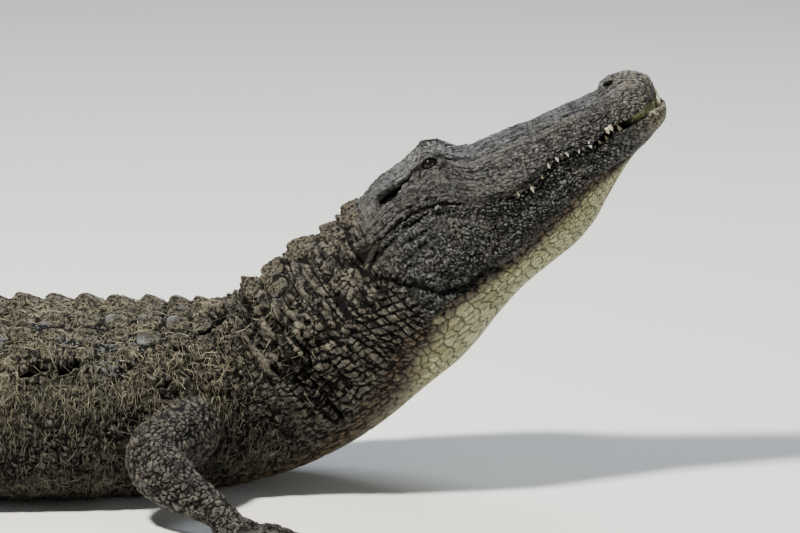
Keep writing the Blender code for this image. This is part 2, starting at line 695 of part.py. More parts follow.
def flat_ring(centre, ahead, half_width, half_height, sides):
    """An ellipse square to ahead, with its width level."""
    across = np.cross(ahead, [0.0, 0.0, 1.0])
    across /= np.linalg.norm(across)
    rise = np.cross(across, ahead)
    turns = np.linspace(0, 2 * math.pi, sides, endpoint=False)
    return [centre + across * half_width * math.cos(a) + rise * half_height * math.sin(a) for a in turns]


def leg_ring(curves, t, shift=0.0, sides=10):
    """A ring of the leg, square to its centre line at joint number t and moved along it by shift."""
    lines, (half_at, rise_at) = curves
    point = np.array([line(t) for line in lines])
    ahead = np.array([line(t + 0.12) - line(t - 0.12) for line in lines])
    ahead /= np.linalg.norm(ahead)
    return flat_ring(point + ahead * shift, ahead, half_at(t), rise_at(t), sides)


def leg_length(name, curves, start, end, step=0.3):
    """A closed length of a leg between two joint numbers, half a gap short at each end."""
    count = max(3, round((end - start) / step) + 1)
    shifts = [GAP / 2] + [0.0] * (count - 2) + [-GAP / 2]
    places = np.linspace(start, end, count)
    return loft(name, [leg_ring(curves, t, shift) for t, shift in zip(places, shifts)])


def level_direction(degrees):
    return np.array([math.cos(math.radians(degrees)), math.sin(math.radians(degrees)), 0.0])


def toe(name, root, ahead, length, radius):
    """A tapered toe that leaves the palm level and comes down to its tip."""
    rings = []
    for share, height, size in TOE_RINGS:
        centre = root + ahead * share * length + np.array([0, 0, height * radius - FLOOR_CUT * 0.6])
        rings.append(flat_ring(centre, ahead, size * radius, size * radius, 6))
    return loft(name, rings)


def web_plate(name, heel, tips, height):
    """The web between the toes, a thin fan that lies on the floor."""
    outline = [heel] + tips
    points = [(x, y, -FLOOR_CUT) for x, y, _ in outline]
    points += [(x, y, height) for x, y, _ in outline]
    size = len(outline)
    faces = [tuple(range(size)), tuple(range(size, 2 * size))]
    faces += [(i, (i + 1) % size, (i + 1) % size + size, i + size) for i in range(size)]
    return new_object(name, points, faces)


def foot(name, shape, curves, start, side):
    """Ankle, palm, web, toes and claws as one solid with a flat sole."""
    level = np.array([1.0, 1.0, 0.0])
    middle = np.array([line(5.0) for line in curves[0]]) * level
    ahead = level_direction(-side * shape["heading"])
    across = np.array([-ahead[1], ahead[0], 0.0]) * -side
    rings = []
    for along, half_width, half_height in shape["palm"]:
        centre = middle + ahead * along + np.array([0, 0, half_height - FLOOR_CUT])
        rings.append(flat_ring(centre, ahead, half_width, half_height, 8))
    made = leg_length(name, curves, start, 5.0)
    tools, tips = [loft(f"{name}_palm", rings)], []
    radius = shape["toe_radius"]
    for number, (turn, length) in enumerate(shape["toes"]):
        way = level_direction(-side * (shape["heading"] + turn))
        spread = across * math.sin(math.radians(turn)) * shape["toe_spread"]
        root = middle + ahead * shape["knuckles"] + spread
        tools.append(toe(f"{name}_toe_{number}", root, way, length, radius))
        tips.append(root + way * length * shape["web"])
        if number < shape["clawed_toes"]:
            claw_root = root + way * length * 0.97 + np.array([0, 0, radius * 0.50])
            point = way + np.array([0, 0, -0.20])
            claw_name = f"{name}_claw_{number}"
            tools.append(spike(claw_name, claw_root, point, shape["claw_length"], radius * 0.45, 5))
    tools.append(web_plate(f"{name}_web", middle, tips, 0.004))
    boolean(made, tools, "UNION")
    return boolean(made, floor_box(), "DIFFERENCE")


def legs(torso):
    """Four legs, each as an upper length cut to the flank, a lower length and a foot."""
    for side, word in ((-1, "right"), (1, "left")):
        for place, leg, shape, shift in (
            ("front", FRONT_LEG, FRONT_FOOT, LEFT_FRONT_SHIFT),
            ("hind", HIND_LEG, HIND_FOOT, LEFT_HIND_SHIFT),
        ):
            curves = leg_curves(leg, side, shift if side > 0 else 0.0)
            bend, ankle = leg["cuts"]
            upper = leg_length(f"{place}_leg_{word}_upper", curves, 0.0, bend)
            boolean(upper, inflated(torso, "torso_clearance", GAP), "DIFFERENCE")
            leg_length(f"{place}_leg_{word}_lower", curves, bend, ankle)
            foot(f"{place}_foot_{word}", shape, curves, ankle, side)


def paint(made, colour, roughness):
    material = bpy.data.materials.new(made.name)
    material.use_nodes = True
    shader = material.node_tree.nodes["Principled BSDF"]
    shader.inputs["Base Color"].default_value = (*COLOURS[colour], 1)
    shader.inputs["Roughness"].default_value = roughness
    shader.inputs["Metallic"].default_value = 0.0
    made.data.materials.clear()
    made.data.materials.append(material)
    made.data.shade_smooth()
    made.data.set_sharp_from_angle(angle=math.radians(40))


def main():
    clear_scene()
    head, lower = upper_head(), lower_head()
    finish_head(head, lower)
    eyes()
    neck = body_length("neck", HEAD_END, NECK_END, 0.034, 30)
    boolean(neck, both_sides(OCCIPITAL_PLATES + NUCHAL_PLATES, "nuchal"), "UNION")
    torso = body_length("torso", NECK_END, TRUNK_END, 0.062, 30)
    boolean(torso, floor_box(), "DIFFERENCE")
    legs(torso)
    boolean(torso, back_plates(), "UNION")
    tail = (
        ("tail_base", TRUNK_END, TAIL_BASE_END, 0.062, 20),
        ("tail_middle", TAIL_BASE_END, TAIL_MIDDLE_END, 0.062, 16),
        ("tail_end", TAIL_MIDDLE_END, TOTAL_LENGTH, 0.072, 12),
    )
    for name, start, end, spacing, sides in tail:
        length = body_length(name, start, end, spacing, sides)
        boolean(length, floor_box(), "DIFFERENCE")
        boolean(length, crest_rows(start, end), "UNION")
    for made in list(bpy.data.objects):
        colour = "eye" if made.name.startswith("eye") else "throat" if made.name == "lower_jaw" else "hide"
        paint(made, colour, 0.12 if colour == "eye" else 0.75)


main()
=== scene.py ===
"""Looks of an adult American alligator: one wrinkled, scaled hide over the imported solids, with bony plates,
tail crests, eyes, teeth and claws of their own and a coat of algae threads.

The hide is one grid of rings along the same bent axis as the solids. Heights of folds, scales and pits are
added to it in code, and the masks that are worked out with them colour it. All lengths are metres.
"""

import itertools
import math

import bpy
import numpy as np
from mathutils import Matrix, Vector
from mathutils.bvhtree import BVHTree


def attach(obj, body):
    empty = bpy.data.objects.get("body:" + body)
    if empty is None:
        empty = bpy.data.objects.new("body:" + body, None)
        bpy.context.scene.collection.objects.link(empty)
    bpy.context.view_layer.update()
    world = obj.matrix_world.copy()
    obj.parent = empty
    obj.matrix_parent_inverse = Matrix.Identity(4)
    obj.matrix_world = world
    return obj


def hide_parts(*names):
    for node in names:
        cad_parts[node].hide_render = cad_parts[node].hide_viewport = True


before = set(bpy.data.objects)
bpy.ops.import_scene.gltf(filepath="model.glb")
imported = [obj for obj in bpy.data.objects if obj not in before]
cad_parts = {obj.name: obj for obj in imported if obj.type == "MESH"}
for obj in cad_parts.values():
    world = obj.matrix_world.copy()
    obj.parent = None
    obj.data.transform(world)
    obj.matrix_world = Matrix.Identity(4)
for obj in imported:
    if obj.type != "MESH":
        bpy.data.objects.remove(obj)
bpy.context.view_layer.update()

# Driving dimensions of the solids, measured along the axis from the tip of the snout
HEAD_END = 0.47
TOTAL_LENGTH = 3.44
AXIS_HEIGHT = 0.175
BELLY_STATION = 1.25
GAP = 0.0003
FLOOR_CUT = 0.004

# Climb and turn of the axis in degrees, at each distance from the snout
PITCH = [(0, 30), (0.47, 30), (0.54, 38), (0.62, 44), (0.70, 38), (0.78, 20), (0.86, 4), (0.92, 0), (3.44, 0)]
HEADING = [(0, 0), (1.40, 0), (1.90, -14), (2.30, -8), (2.70, 12), (3.10, 25), (3.44, 30)]

# Cross sections: distance from the snout, half width, then top, widest level and underside as heights over
# the axis, then how square the upper and lower halves are (2 is an ellipse)
SECTIONS = [
    (0.000, 0.011, 0.011, -0.010, -0.023, 2.2, 2.2),
    (0.004, 0.024, 0.020, -0.014, -0.030, 2.2, 2.2),
    (0.012, 0.039, 0.030, -0.018, -0.0385, 2.2, 2.2),
    (0.026, 0.056, 0.042, -0.018, -0.046, 2.2, 2.2),
    (0.045, 0.068, 0.0505, -0.016, -0.0525, 2.2, 2.2),
    (0.065, 0.075, 0.0545, -0.015, -0.059, 2.2, 2.3),
    (0.080, 0.0755, 0.0525, -0.0155, -0.063, 2.2, 2.3),
    (0.091, 0.075, 0.0455, -0.016, -0.067, 2.2, 2.3),
    (0.113, 0.075, 0.043, -0.018, -0.078, 2.3, 2.2),
    (0.155, 0.081, 0.0475, -0.020, -0.103, 2.3, 2.0),
    (0.195, 0.087, 0.051, -0.024, -0.128, 2.2, 1.9),
    (0.237, 0.094, 0.058, -0.030, -0.143, 2.1, 1.9),
    (0.280, 0.102, 0.065, -0.038, -0.150, 2.0, 1.9),
    (0.330, 0.120, 0.073, -0.050, -0.158, 1.9, 2.0),
    (0.390, 0.146, 0.087, -0.062, -0.177, 1.8, 2.0),
    (0.440, 0.163, 0.086, -0.070, -0.197, 1.8, 2.0),
    (0.490, 0.168, 0.076, -0.070, -0.210, 1.9, 2.0),
    (0.550, 0.168, 0.068, -0.062, -0.212, 2.0, 2.0),
    (0.630, 0.164, 0.078, -0.055, -0.210, 2.1, 2.0),
    (0.690, 0.155, 0.074, -0.050, -0.205, 2.2, 2.0),
    (0.745, 0.148, 0.082, -0.045, -0.196, 2.2, 2.1),
    (0.800, 0.158, 0.086, -0.045, -0.186, 2.2, 2.3),
    (0.870, 0.195, 0.091, -0.050, -0.180, 2.2, 2.6),
    (1.000, 0.228, 0.093, -0.055, -0.179, 2.2, 2.8),
    (1.200, 0.240, 0.094, -0.055, -0.179, 2.2, 2.8),
    (1.400, 0.232, 0.091, -0.055, -0.179, 2.2, 2.8),
    (1.580, 0.192, 0.081, -0.058, -0.179, 2.1, 2.6),
    (1.720, 0.148, 0.063, -0.065, -0.179, 2.0, 2.4),
    (1.900, 0.116, 0.037, -0.080, -0.179, 1.8, 2.3),
    (2.150, 0.084, 0.000, -0.098, -0.179, 1.7, 2.3),
    (2.400, 0.061, -0.033, -0.114, -0.179, 1.6, 2.2),
    (2.650, 0.043, -0.062, -0.127, -0.179, 1.6, 2.2),
    (2.900, 0.030, -0.090, -0.139, -0.179, 1.6, 2.2),
    (3.150, 0.019, -0.118, -0.151, -0.179, 1.6, 2.2),
    (3.350, 0.010, -0.143, -0.162, -0.179, 1.7, 2.2),
    (3.440, 0.004, -0.164, -0.170, -0.179, 1.8, 2.2),
]

# The line of the mouth and of the crease behind its corner: distance from the snout and height over the axis
MOUTH = [
    (0.00, -0.015), (0.03, -0.0105), (0.075, -0.0095), (0.105, -0.0115), (0.128, -0.0145), (0.155, -0.0085),
    (0.180, -0.003), (0.205, -0.008), (0.235, -0.019), (0.280, -0.018), (0.315, -0.006), (0.350, 0.017),
    (0.375, 0.030), (0.410, 0.037), (0.440, 0.035), (0.47, 0.030), (0.51, 0.020), (0.54, 0.012),
]
MOUTH_GAP = [
    (0.0, 0.0110), (0.03, 0.0135), (0.05, 0.0130), (0.07, 0.0122), (0.105, 0.0105), (0.14, 0.0065),
    (0.20, 0.0045), (0.26, 0.0035), (0.30, 0.0015), (0.33, GAP), (0.54, GAP),
]
MOUTH_DEPTH = [
    (0.0, 0.012), (0.045, 0.013), (0.07, 0.022), (0.24, 0.022), (0.32, 0.009), (0.38, 0.006), (0.48, 0.0045),
    (0.535, 0.0), (3.44, 0.0),
]
LIP_ROUND = [(0.0, 0.0034), (0.28, 0.0034), (0.40, 0.0028), (0.50, 0.0018), (0.54, 0.0), (3.44, 0.0)]
LOWER_JAW_INSET = [(0.0, 0.000), (0.02, 0.004), (0.05, 0.007), (0.24, 0.007), (0.32, 0.0), (0.47, 0.0)]
# How far the tips of the jaws lie behind the front of the form, and how far back the upper jaw is set back
LOWER_JAW_TIP = 0.013
UPPER_JAW_TIP = 0.022
UPPER_JAW_BEND = 0.06

# Eyes, given by distance from the snout, distance from the midline and height over the axis
EYE = (0.362, 0.050, 0.080)
EYE_RADIUS = 0.0155
EYEBALL_RADIUS = 0.0144
LID_SIZE = (0.030, 0.0200, 0.0185)
# How far from the eye, along and up, the hide is drawn out to lids
LID_ZONE = (0.050, 0.042)
BROW_HEIGHT = 0.026
BROW_LENGTH = 0.028
BROW_WIDTH = 0.021
BROW_PLACE = (0.357, 0.045)
ORBIT_REACH = 0.009
ORBIT_HEIGHT = 0.064

# Teeth: distance from the snout and visible length
UPPER_TEETH = [
    (0.0960, 0.0040), (0.1030, 0.0045), (0.136, 0.0065), (0.155, 0.0075), (0.172, 0.0080), (0.189, 0.0070),
    (0.205, 0.004), (0.222, 0.004), (0.243, 0.0120), (0.265, 0.006),
]
LOWER_TEETH = [
    (0.0200, 0.022), (0.0857, 0.0105), (0.0960, 0.0050), (0.110, 0.0060), (0.122, 0.0065), (0.1465, 0.0070),
]
TOOTH_RADIUS = 0.0035
TOOTH_ROOT = 0.006

# Rows of plates along the back: distance of the first from the snout, spacing and number of rows, and the
# spacing of the plates within a row
BACK_FIRST_ROW = 0.806
BACK_ROW_SPACING = 0.0485
BACK_ROWS = 17
BACK_COLUMN_SPACING = 0.047
# Rows that are four plates wide on each side, where the others are three
WIDE_ROWS = range(4, 13)
# Length, width and height of a plate next to the midline
BACK_PLATE = (0.0465, 0.0455, 0.0125)
# How much smaller and how much lower each plate further out is
COLUMN_SHRINK = 0.10
COLUMN_DROP = 0.0012
# Plates of the nape: distance from the snout, distance from the midline, length, width and height
NAPE_PLATES = [
    (0.502, 0.018, 0.024, 0.022, 0.009),
    (0.502, 0.050, 0.026, 0.024, 0.010),
    (0.545, 0.034, 0.022, 0.020, 0.008),
    (0.585, 0.026, 0.046, 0.044, 0.013),
    (0.640, 0.028, 0.044, 0.048, 0.011),
    (0.640, 0.082, 0.036, 0.034, 0.010),
    (0.686, 0.024, 0.036, 0.036, 0.021),
]

# Tail crests: distance from the snout and height of the blades
CREST_HEIGHT = [(1.74, 0.014), (2.00, 0.024), (2.40, 0.038), (2.80, 0.038), (3.10, 0.028), (3.42, 0.010)]
CREST_SPACING = [(1.74, 0.050), (2.60, 0.047), (3.44, 0.033)]
CREST_MERGE = 2.56
CREST_END = 3.40

# Rings of the hide: points on one side from the back to the mouth, inside the mouth, and on to the belly
UPPER_POINTS = 130
CAVITY_POINTS = 20
LOWER_POINTS = 150
PROFILE_SAMPLES = 721
# Rings that close the tip of the snout, and how far back they reach
CAP_RINGS = 10
CAP_END = 0.0012
# Distance from the snout up to which rings are so far apart
RING_SPACING = [
    (0.0040, 0.00052), (0.0090, 0.0010), (0.0150, 0.0014), (0.3150, 0.0016), (0.3900, 0.0009),
    (0.5000, 0.0017), (0.7600, 0.0022), (1.3000, 0.0030),
]
# Stretches with fewer points round: start, end, distance between rings, and every which point is kept
COARSE_BLOCKS = [(1.30, 2.30, 0.0040, 2), (2.30, 3.44, 0.0045, 4)]


def smooth_curve(knots):
    """A function through (x, value) knots that never overshoots them."""
    xs, ys = np.array(knots, float).T
    steps, slopes = np.diff(xs), np.diff(ys) / np.diff(xs)
    inner = np.where(slopes[1:] * slopes[:-1] > 0, 1.0, 0.0)
    blend = (2 * steps[1:] + steps[:-1], steps[1:] + 2 * steps[:-1])
    with np.errstate(divide="ignore", invalid="ignore"):
        mean = (blend[0] + blend[1]) / (blend[0] / slopes[:-1] + blend[1] / slopes[1:])
    tangents = np.concatenate([[slopes[0]], np.where(inner > 0, np.nan_to_num(mean), 0.0), [slopes[-1]]])

    def value(x):
        x = np.clip(np.asarray(x, float), xs[0], xs[-1])
        i = np.clip(np.searchsorted(xs, x, "right") - 1, 0, len(steps) - 1)
        h = steps[i]
        t = (x - xs[i]) / h
        start = (1 + 2 * t) * (1 - t) ** 2 * ys[i] + t * (1 - t) ** 2 * h * tangents[i]
        return start + t * t * (3 - 2 * t) * ys[i + 1] + t * t * (t - 1) * h * tangents[i + 1]

    return value


def upper_setback(s, rise):
    """How far the front of the upper jaw lies behind that of the lower one, less towards its top."""
    share = np.clip(1 - s / UPPER_JAW_BEND, 0, 1) ** 1.5
    return UPPER_JAW_TIP * share * (1 - 0.6 * np.clip(rise / 0.04, 0, 1))


def section_curves():
    """One smooth curve along the axis for each column of SECTIONS."""
    table = np.array(SECTIONS)
    names = ("half_width", "top", "widest", "low", "upper_power", "lower_power")
    return {name: smooth_curve(list(zip(table[:, 0], table[:, i + 1]))) for i, name in enumerate(names)}


FORM = section_curves()
pitch_at = smooth_curve(PITCH)
heading_at = smooth_curve(HEADING)
mouth_at = smooth_curve(MOUTH)
mouth_gap_at = smooth_curve(MOUTH_GAP)
mouth_depth_at = smooth_curve(MOUTH_DEPTH)
lip_round_at = smooth_curve(LIP_ROUND)
inset_at = smooth_curve(LOWER_JAW_INSET)


def smoothstep(low, high, x):
    t = np.clip((x - low) / (high - low), 0, 1)
    return t * t * (3 - 2 * t)


def bump(x, centre, width):
    return np.exp(-(((x - centre) / width) ** 2))


def unit(vectors):
    return vectors / np.maximum(np.linalg.norm(vectors, axis=-1, keepdims=True), 1e-12)


def directions(s):
    """Unit vectors forward, left and up of the axis at distance s from the snout."""
    pitch, heading = np.radians(pitch_at(s)), np.radians(heading_at(s))
    level = np.stack([np.cos(heading), np.sin(heading), np.zeros_like(heading)], -1)
    left = np.stack([-np.sin(heading), np.cos(heading), np.zeros_like(heading)], -1)
    rise = np.array([0.0, 0.0, 1.0])
    forward = level * np.cos(pitch)[..., None] + rise * np.sin(pitch)[..., None]
    up = rise * np.cos(pitch)[..., None] - level * np.sin(pitch)[..., None]
    return forward, left, up


def walk_axis():
    """Points of the axis at even steps from the snout, with the belly's station over the origin."""
    steps = np.linspace(0, TOTAL_LENGTH, 1721)
    forward = directions(steps)[0]
    middles = (forward[1:] + forward[:-1]) / 2
    points = np.concatenate([np.zeros((1, 3)), -np.cumsum(middles * np.diff(steps)[:, None], 0)])
    anchor = [np.interp(BELLY_STATION, steps, points[:, i]) for i in range(3)]
    return steps, points - np.array(anchor) + np.array([0, 0, AXIS_HEIGHT])


AXIS_STEPS, AXIS_POINTS = walk_axis()


def axis_point(s):
    return np.stack([np.interp(s, AXIS_STEPS, AXIS_POINTS[:, i]) for i in range(3)], -1)


def section(s, theta):
    """(distance to the left, height over the axis) on the form. Theta runs from 0 on top to pi below."""
    s, theta = np.broadcast_arrays(np.asarray(s, float), np.asarray(theta, float))
    upper = np.cos(theta) >= 0
    power = np.where(upper, FORM["upper_power"](s), FORM["lower_power"](s))
    widest = FORM["widest"](s)
    reach = np.where(upper, FORM["top"](s) - widest, widest - FORM["low"](s))
    across = np.sign(np.sin(theta)) * np.abs(np.sin(theta)) ** (2 / power) * FORM["half_width"](s)
    height = widest + np.sign(np.cos(theta)) * np.abs(np.cos(theta)) ** (2 / power) * reach
    out, lift = head_relief(s, across, height)
    return across + out, height + lift


def head_relief(s, across, height):
    """Brows, edges of the flat skull roof and the hollow before the eyes, as added reach and added height."""
    brow_s, brow_y = BROW_PLACE
    above = np.clip((height - FORM["widest"](s)) / 0.08, 0, 1)
    away = (np.abs(across) - brow_y) / BROW_WIDTH
    brow = BROW_HEIGHT * np.exp(-(((s - brow_s) / BROW_LENGTH) ** 2) - away**2)
    behind = np.clip((s - brow_s) / 0.03, 0, 1) * np.clip((HEAD_END + 0.03 - s) / 0.06, 0, 1)
    edge = 0.012 * behind * np.exp(-(((np.abs(across) - 0.056) / 0.015) ** 2))
    hollow = -0.008 * np.exp(-(((s - 0.31) / 0.03) ** 2) - (across / 0.03) ** 2)
    orbit = ORBIT_REACH * np.exp(-(((s - brow_s) / 0.034) ** 2) - ((height - ORBIT_HEIGHT) / 0.026) ** 2)
    return np.sign(across) * orbit, above * (brow + edge + hollow)


def surface(s, theta):
    """Points of the form in the object's frame."""
    across, height = section(s, theta)
    s = np.broadcast_to(np.asarray(s, float), across.shape)
    _, left, up = directions(s)
    return axis_point(s) + left * across[..., None] + up * height[..., None]


def placed(s, across, height):
    """The point that is so far left of and over the axis at s."""
    s = np.asarray(float(s))
    _, left, up = directions(s)
    return axis_point(s) + left * across + up * height


def side_line(s):
    """Height over the axis of the line between the upper and the lower hide: the mouth, then the flank."""
    blend = smoothstep(0.53, 0.80, s)
    return mouth_at(s) * (1 - blend) + FORM["widest"](s) * blend


def scatter(i, j, k, seed):
    """A repeatable number from 0 to 1 for whole numbers i, j and k."""
    mixed = i.astype(np.int64) * 374761393 + j.astype(np.int64) * 668265263
    mixed = (mixed + k.astype(np.int64) * 2147483647 + seed * 974711) & 0xFFFFFFFF
    mixed = ((mixed ^ (mixed >> 13)) * 1274126177) & 0xFFFFFFFF
    return (mixed ^ (mixed >> 16)) / 4294967295.0


def soft_noise(points, size, seed):
    """Smooth noise from -1 to 1 at 3-D points, with features of one size or of one for each direction."""
    scaled = points / np.asarray(size, float)
    cell = np.floor(scaled).astype(np.int64)
    t = scaled - cell
    t = t * t * t * (t * (6 * t - 15) + 10)
    total = np.zeros(len(points))
    for corner in range(8):
        bits = np.array([corner & 1, corner >> 1 & 1, corner >> 2 & 1])
        weight = np.prod(np.where(bits == 1, t, 1 - t), axis=1)
        at = cell + bits
        total += weight * scatter(at[:, 0], at[:, 1], at[:, 2], seed)
    return 2 * total - 1


def layered_noise(points, size, seed, layers=3):
    """Noise with finer noise on it."""
    total, weight, size = 0.0, 1.0, np.asarray(size, float)
    for layer in range(layers):
        total = total + weight * soft_noise(points, size, seed + layer)
        weight, size = weight * 0.5, size * 0.5
    return total / 1.75


def cells(place, seed, jitter=0.8):
    """For scattered cells one unit wide: distance to the cell's edge, distance to its middle, its number."""
    base = np.floor(place).astype(np.int64)
    size, depth = place.shape
    first, second, number = np.full(size, 9.0), np.full(size, 9.0), np.zeros(size)
    first_at, second_at = np.zeros((size, depth)), np.zeros((size, depth))
    for step in itertools.product((-1, 0, 1), repeat=depth):
        cell = base + step
        third = 8 * (cell[:, 2] if depth == 3 else np.zeros(size, np.int64))
        chance = [scatter(cell[:, 0], cell[:, 1], third + axis, seed) for axis in range(depth + 1)]
        middle = cell + 0.5 + jitter * (np.stack(chance[:depth], -1) - 0.5)
        away = np.linalg.norm(place - middle, axis=-1)
        nearer = away < first
        next_best = ~nearer & (away < second)
        second = np.where(nearer, first, np.where(next_best, away, second))
        second_at = np.where(nearer[:, None], first_at, np.where(next_best[:, None], middle, second_at))
        first = np.where(nearer, away, first)
        first_at = np.where(nearer[:, None], middle, first_at)
        number = np.where(nearer, chance[depth], number)
    apart = np.maximum(np.linalg.norm(second_at - first_at, axis=-1), 1e-6)
    return (second**2 - first**2) / (2 * apart), first, number


def line_distance(x, y, points):
    """Distance to a line through points, with the share of the way along it."""
    best, along = np.full(x.shape, 9.0), np.zeros(x.shape)
    lengths = [math.dist(a, b) for a, b in zip(points[:-1], points[1:])]
    done = 0.0
    for (ax, ay), (bx, by), length in zip(points[:-1], points[1:], lengths):
        t = np.clip(((x - ax) * (bx - ax) + (y - ay) * (by - ay)) / length**2, 0, 1)
        away = np.hypot(x - ax - t * (bx - ax), y - ay - t * (by - ay))
        nearer = away < best
        best = np.where(nearer, away, best)
        along = np.where(nearer, (done + t * length) / sum(lengths), along)
        done += length
    return best, along


def eye_centre(side):
    s, across, height = EYE
    return placed(s, side * across, height)


def eye_axes(side):
    """Directions forward, up and outward of the eye, which looks out and a little up."""
    forward, left, up = directions(np.array(EYE[0]))
    outward = left * side * 0.90 + up * 0.34 + forward * 0.10
    outward /= np.linalg.norm(outward)
    along = forward - outward * (forward @ outward)
    along /= np.linalg.norm(along)
    return along, np.cross(outward, along), outward


def fine_stations():
    """Distances of the close rings from the snout to the trunk, with each ring's share of its full size."""
    shares = np.linspace(0, 1, CAP_RINGS)
    places = list(CAP_END * shares**2)
    s = CAP_END
    for end, spacing in RING_SPACING:
        count = max(1, round((end - s) / spacing))
        places += list(s + (end - s) * np.arange(1, count + 1) / count)
        s = end
    return np.array(places), np.concatenate([shares, np.ones(len(places) - CAP_RINGS)])


def spread_points(s, run, height, points_up, points_in, points_low):
    """Distances along the hide of one ring's points, close together at the lips and the eyes."""
    level, gap = float(side_line(s)), float(mouth_gap_at(s))
    above = np.count_nonzero(height > level + gap / 2)
    below = np.count_nonzero(height > level - gap / 2)

    def lip(at, count):
        pair = slice(count - 1, count + 1)
        return np.interp(at, height[pair][::-1], run[pair][::-1])

    upper_end, lower_end = lip(level + gap / 2, above), lip(level - gap / 2, below)
    lips = 1.4 * (1 - smoothstep(0.44, 0.54, s)) * bump(run, upper_end, 0.010)
    eyes = 1.7 * bump(s, 0.355, 0.05) * bump(run, 0.062, 0.024)
    share = np.concatenate([[0], np.cumsum((1 + lips + eyes)[1:] * np.diff(run))])
    at_upper, at_lower = np.interp([upper_end, lower_end], run, share)
    upper = np.interp(np.linspace(0, at_upper, points_up + 1), share, run)
    lower = np.interp(np.linspace(at_lower, share[-1], points_low + 1), share, run)
    inner = np.linspace(upper_end, lower_end, points_in + 1)[1:-1]
    shaped = np.concatenate([upper, inner, lower])
    even = np.linspace(0, run[-1], len(shaped))
    blend = smoothstep(0.545, 0.70, s)
    return shaped * (1 - blend) + even * blend


def build_rings(s, shares, coarser=1):
    """One side of the rings before any relief: places, outward directions and where each point lies."""
    theta = np.linspace(0, math.pi, PROFILE_SAMPLES)
    wide, tall = section(s[:, None], theta[None, :])
    steps = np.hypot(np.diff(wide, axis=1), np.diff(tall, axis=1))
    run = np.concatenate([np.zeros((len(s), 1)), np.cumsum(steps, axis=1)], axis=1)
    counts = (UPPER_POINTS, CAVITY_POINTS, LOWER_POINTS)
    girth = np.stack([spread_points(*row, *counts) for row in zip(s, run, tall)])[:, ::coarser]

    def at_points(values):
        return np.stack([np.interp(*row) for row in zip(girth, run, values)])

    across, height = at_points(wide), at_points(tall)
    dense_a, dense_h = np.gradient(wide, axis=1), np.gradient(tall, axis=1)
    dense = np.maximum(np.hypot(dense_a, dense_h), 1e-12)
    out_a, out_h = at_points(-dense_h / dense), at_points(dense_a / dense)
    size = np.maximum(np.hypot(out_a, out_h), 1e-9)
    out_a, out_h = out_a / size, out_h / size
    growth = np.maximum(np.gradient(s), 1e-5)[:, None]
    lean = out_a * np.gradient(across, axis=0) / growth + out_h * np.gradient(height, axis=0) / growth
    index = np.arange(across.shape[1]) * coarser
    inner = np.clip((index - UPPER_POINTS) / CAVITY_POINTS, 0, 1)[None, :] * np.ones((len(s), 1))
    return {
        "s": np.broadcast_to(s[:, None], across.shape), "girth": girth, "below": run[:, -1:] - girth,
        "across": across, "height": height, "out_a": out_a, "out_h": out_h, "lean": lean, "inner": inner,
        "share": shares[:, None] * np.ones_like(girth), "index": index,
    }


def open_mouth(ring):
    """Places of one side's points with the mouth opened, its lips rounded and its inside pushed in."""
    s, inner, share = ring["s"], ring["inner"], ring["share"]
    across, height = ring["across"].copy(), ring["height"].copy()
    level, gap = side_line(s), mouth_gap_at(s)
    fade = 1 - smoothstep(0.50, 0.54, s)
    upper = ring["index"][None, :] <= UPPER_POINTS
    lower = ring["index"][None, :] >= UPPER_POINTS + CAVITY_POINTS
    from_upper = np.maximum(height - level - gap / 2, 0)
    from_lower = np.maximum(level - gap / 2 - height, 0)
    height = np.where(upper & (fade > 0), level + gap / 2 + share * from_upper, height)
    height = np.where(lower & (fade > 0), level - gap / 2 - share * from_lower, height)
    middle = level + gap / 2 * np.clip((1 - 2 * inner) * 3, -1, 1)
    height = np.where(upper | lower, height, middle * fade + height * (1 - fade))
    below = smoothstep(0.3, 0.7, inner)
    depth = np.clip((height - FORM["low"](s)) / (level - FORM["low"](s)), 0, 1)
    across = across * (1 - below * inset_at(s) / FORM["half_width"](s) * depth) * share
    round_ = lip_round_at(s)
    edge = np.where(upper, height - level - gap / 2, np.where(lower, level - gap / 2 - height, 0))
    near = np.clip(1 - edge / np.maximum(round_, 1e-6), 0, 1)
    lip = round_ * (1 - np.sqrt(1 - near**2))
    tent = 1 - np.abs(2 * inner - 1) ** 2.4
    cave = round_ + np.maximum(mouth_depth_at(s) - round_, 0) * tent
    inward = np.where(upper | lower, lip, cave)
    forward, left, up = directions(s)
    turned = zip((left, up, forward), ("out_a", "out_h", "lean"))
    out = unit(sum(way * ring[key][..., None] for way, key in turned))
    level_out = unit(out - up * np.sum(out * up, -1, keepdims=True))
    level_out = unit(forward * (1 - share)[..., None] + level_out * share[..., None])
    points = axis_point(s) + left * across[..., None] + up * height[..., None]
    points = points - level_out * inward[..., None]
    setback = below * LOWER_JAW_TIP * np.clip(1 - s / 0.03, 0, 1) ** 1.5
    setback = setback + (1 - below) * upper_setback(s, height - level)
    points = points - forward * setback[..., None]
    return points, height, tent * (1 - (upper | lower)) * (1 - smoothstep(0.49, 0.53, s))


# Waves along the lips: distance from the snout, half length and share of the full height
LIP_WAVES = [(0.050, 0.020, 1.0), (0.100, 0.016, -0.8), (0.165, 0.030, 1.0), (0.245, 0.030, 0.8)]
# Places on the hide as (distance from the snout, distance along the hide from the midline of the back)
BROW_LINE = [(0.366, 0.0575), (0.350, 0.0525), (0.329, 0.0460), (0.3075, 0.0360)]
EAR_LINE = [(0.366, 0.0770), (0.389, 0.0655), (0.409, 0.0665), (0.435, 0.0730), (0.452, 0.0705)]
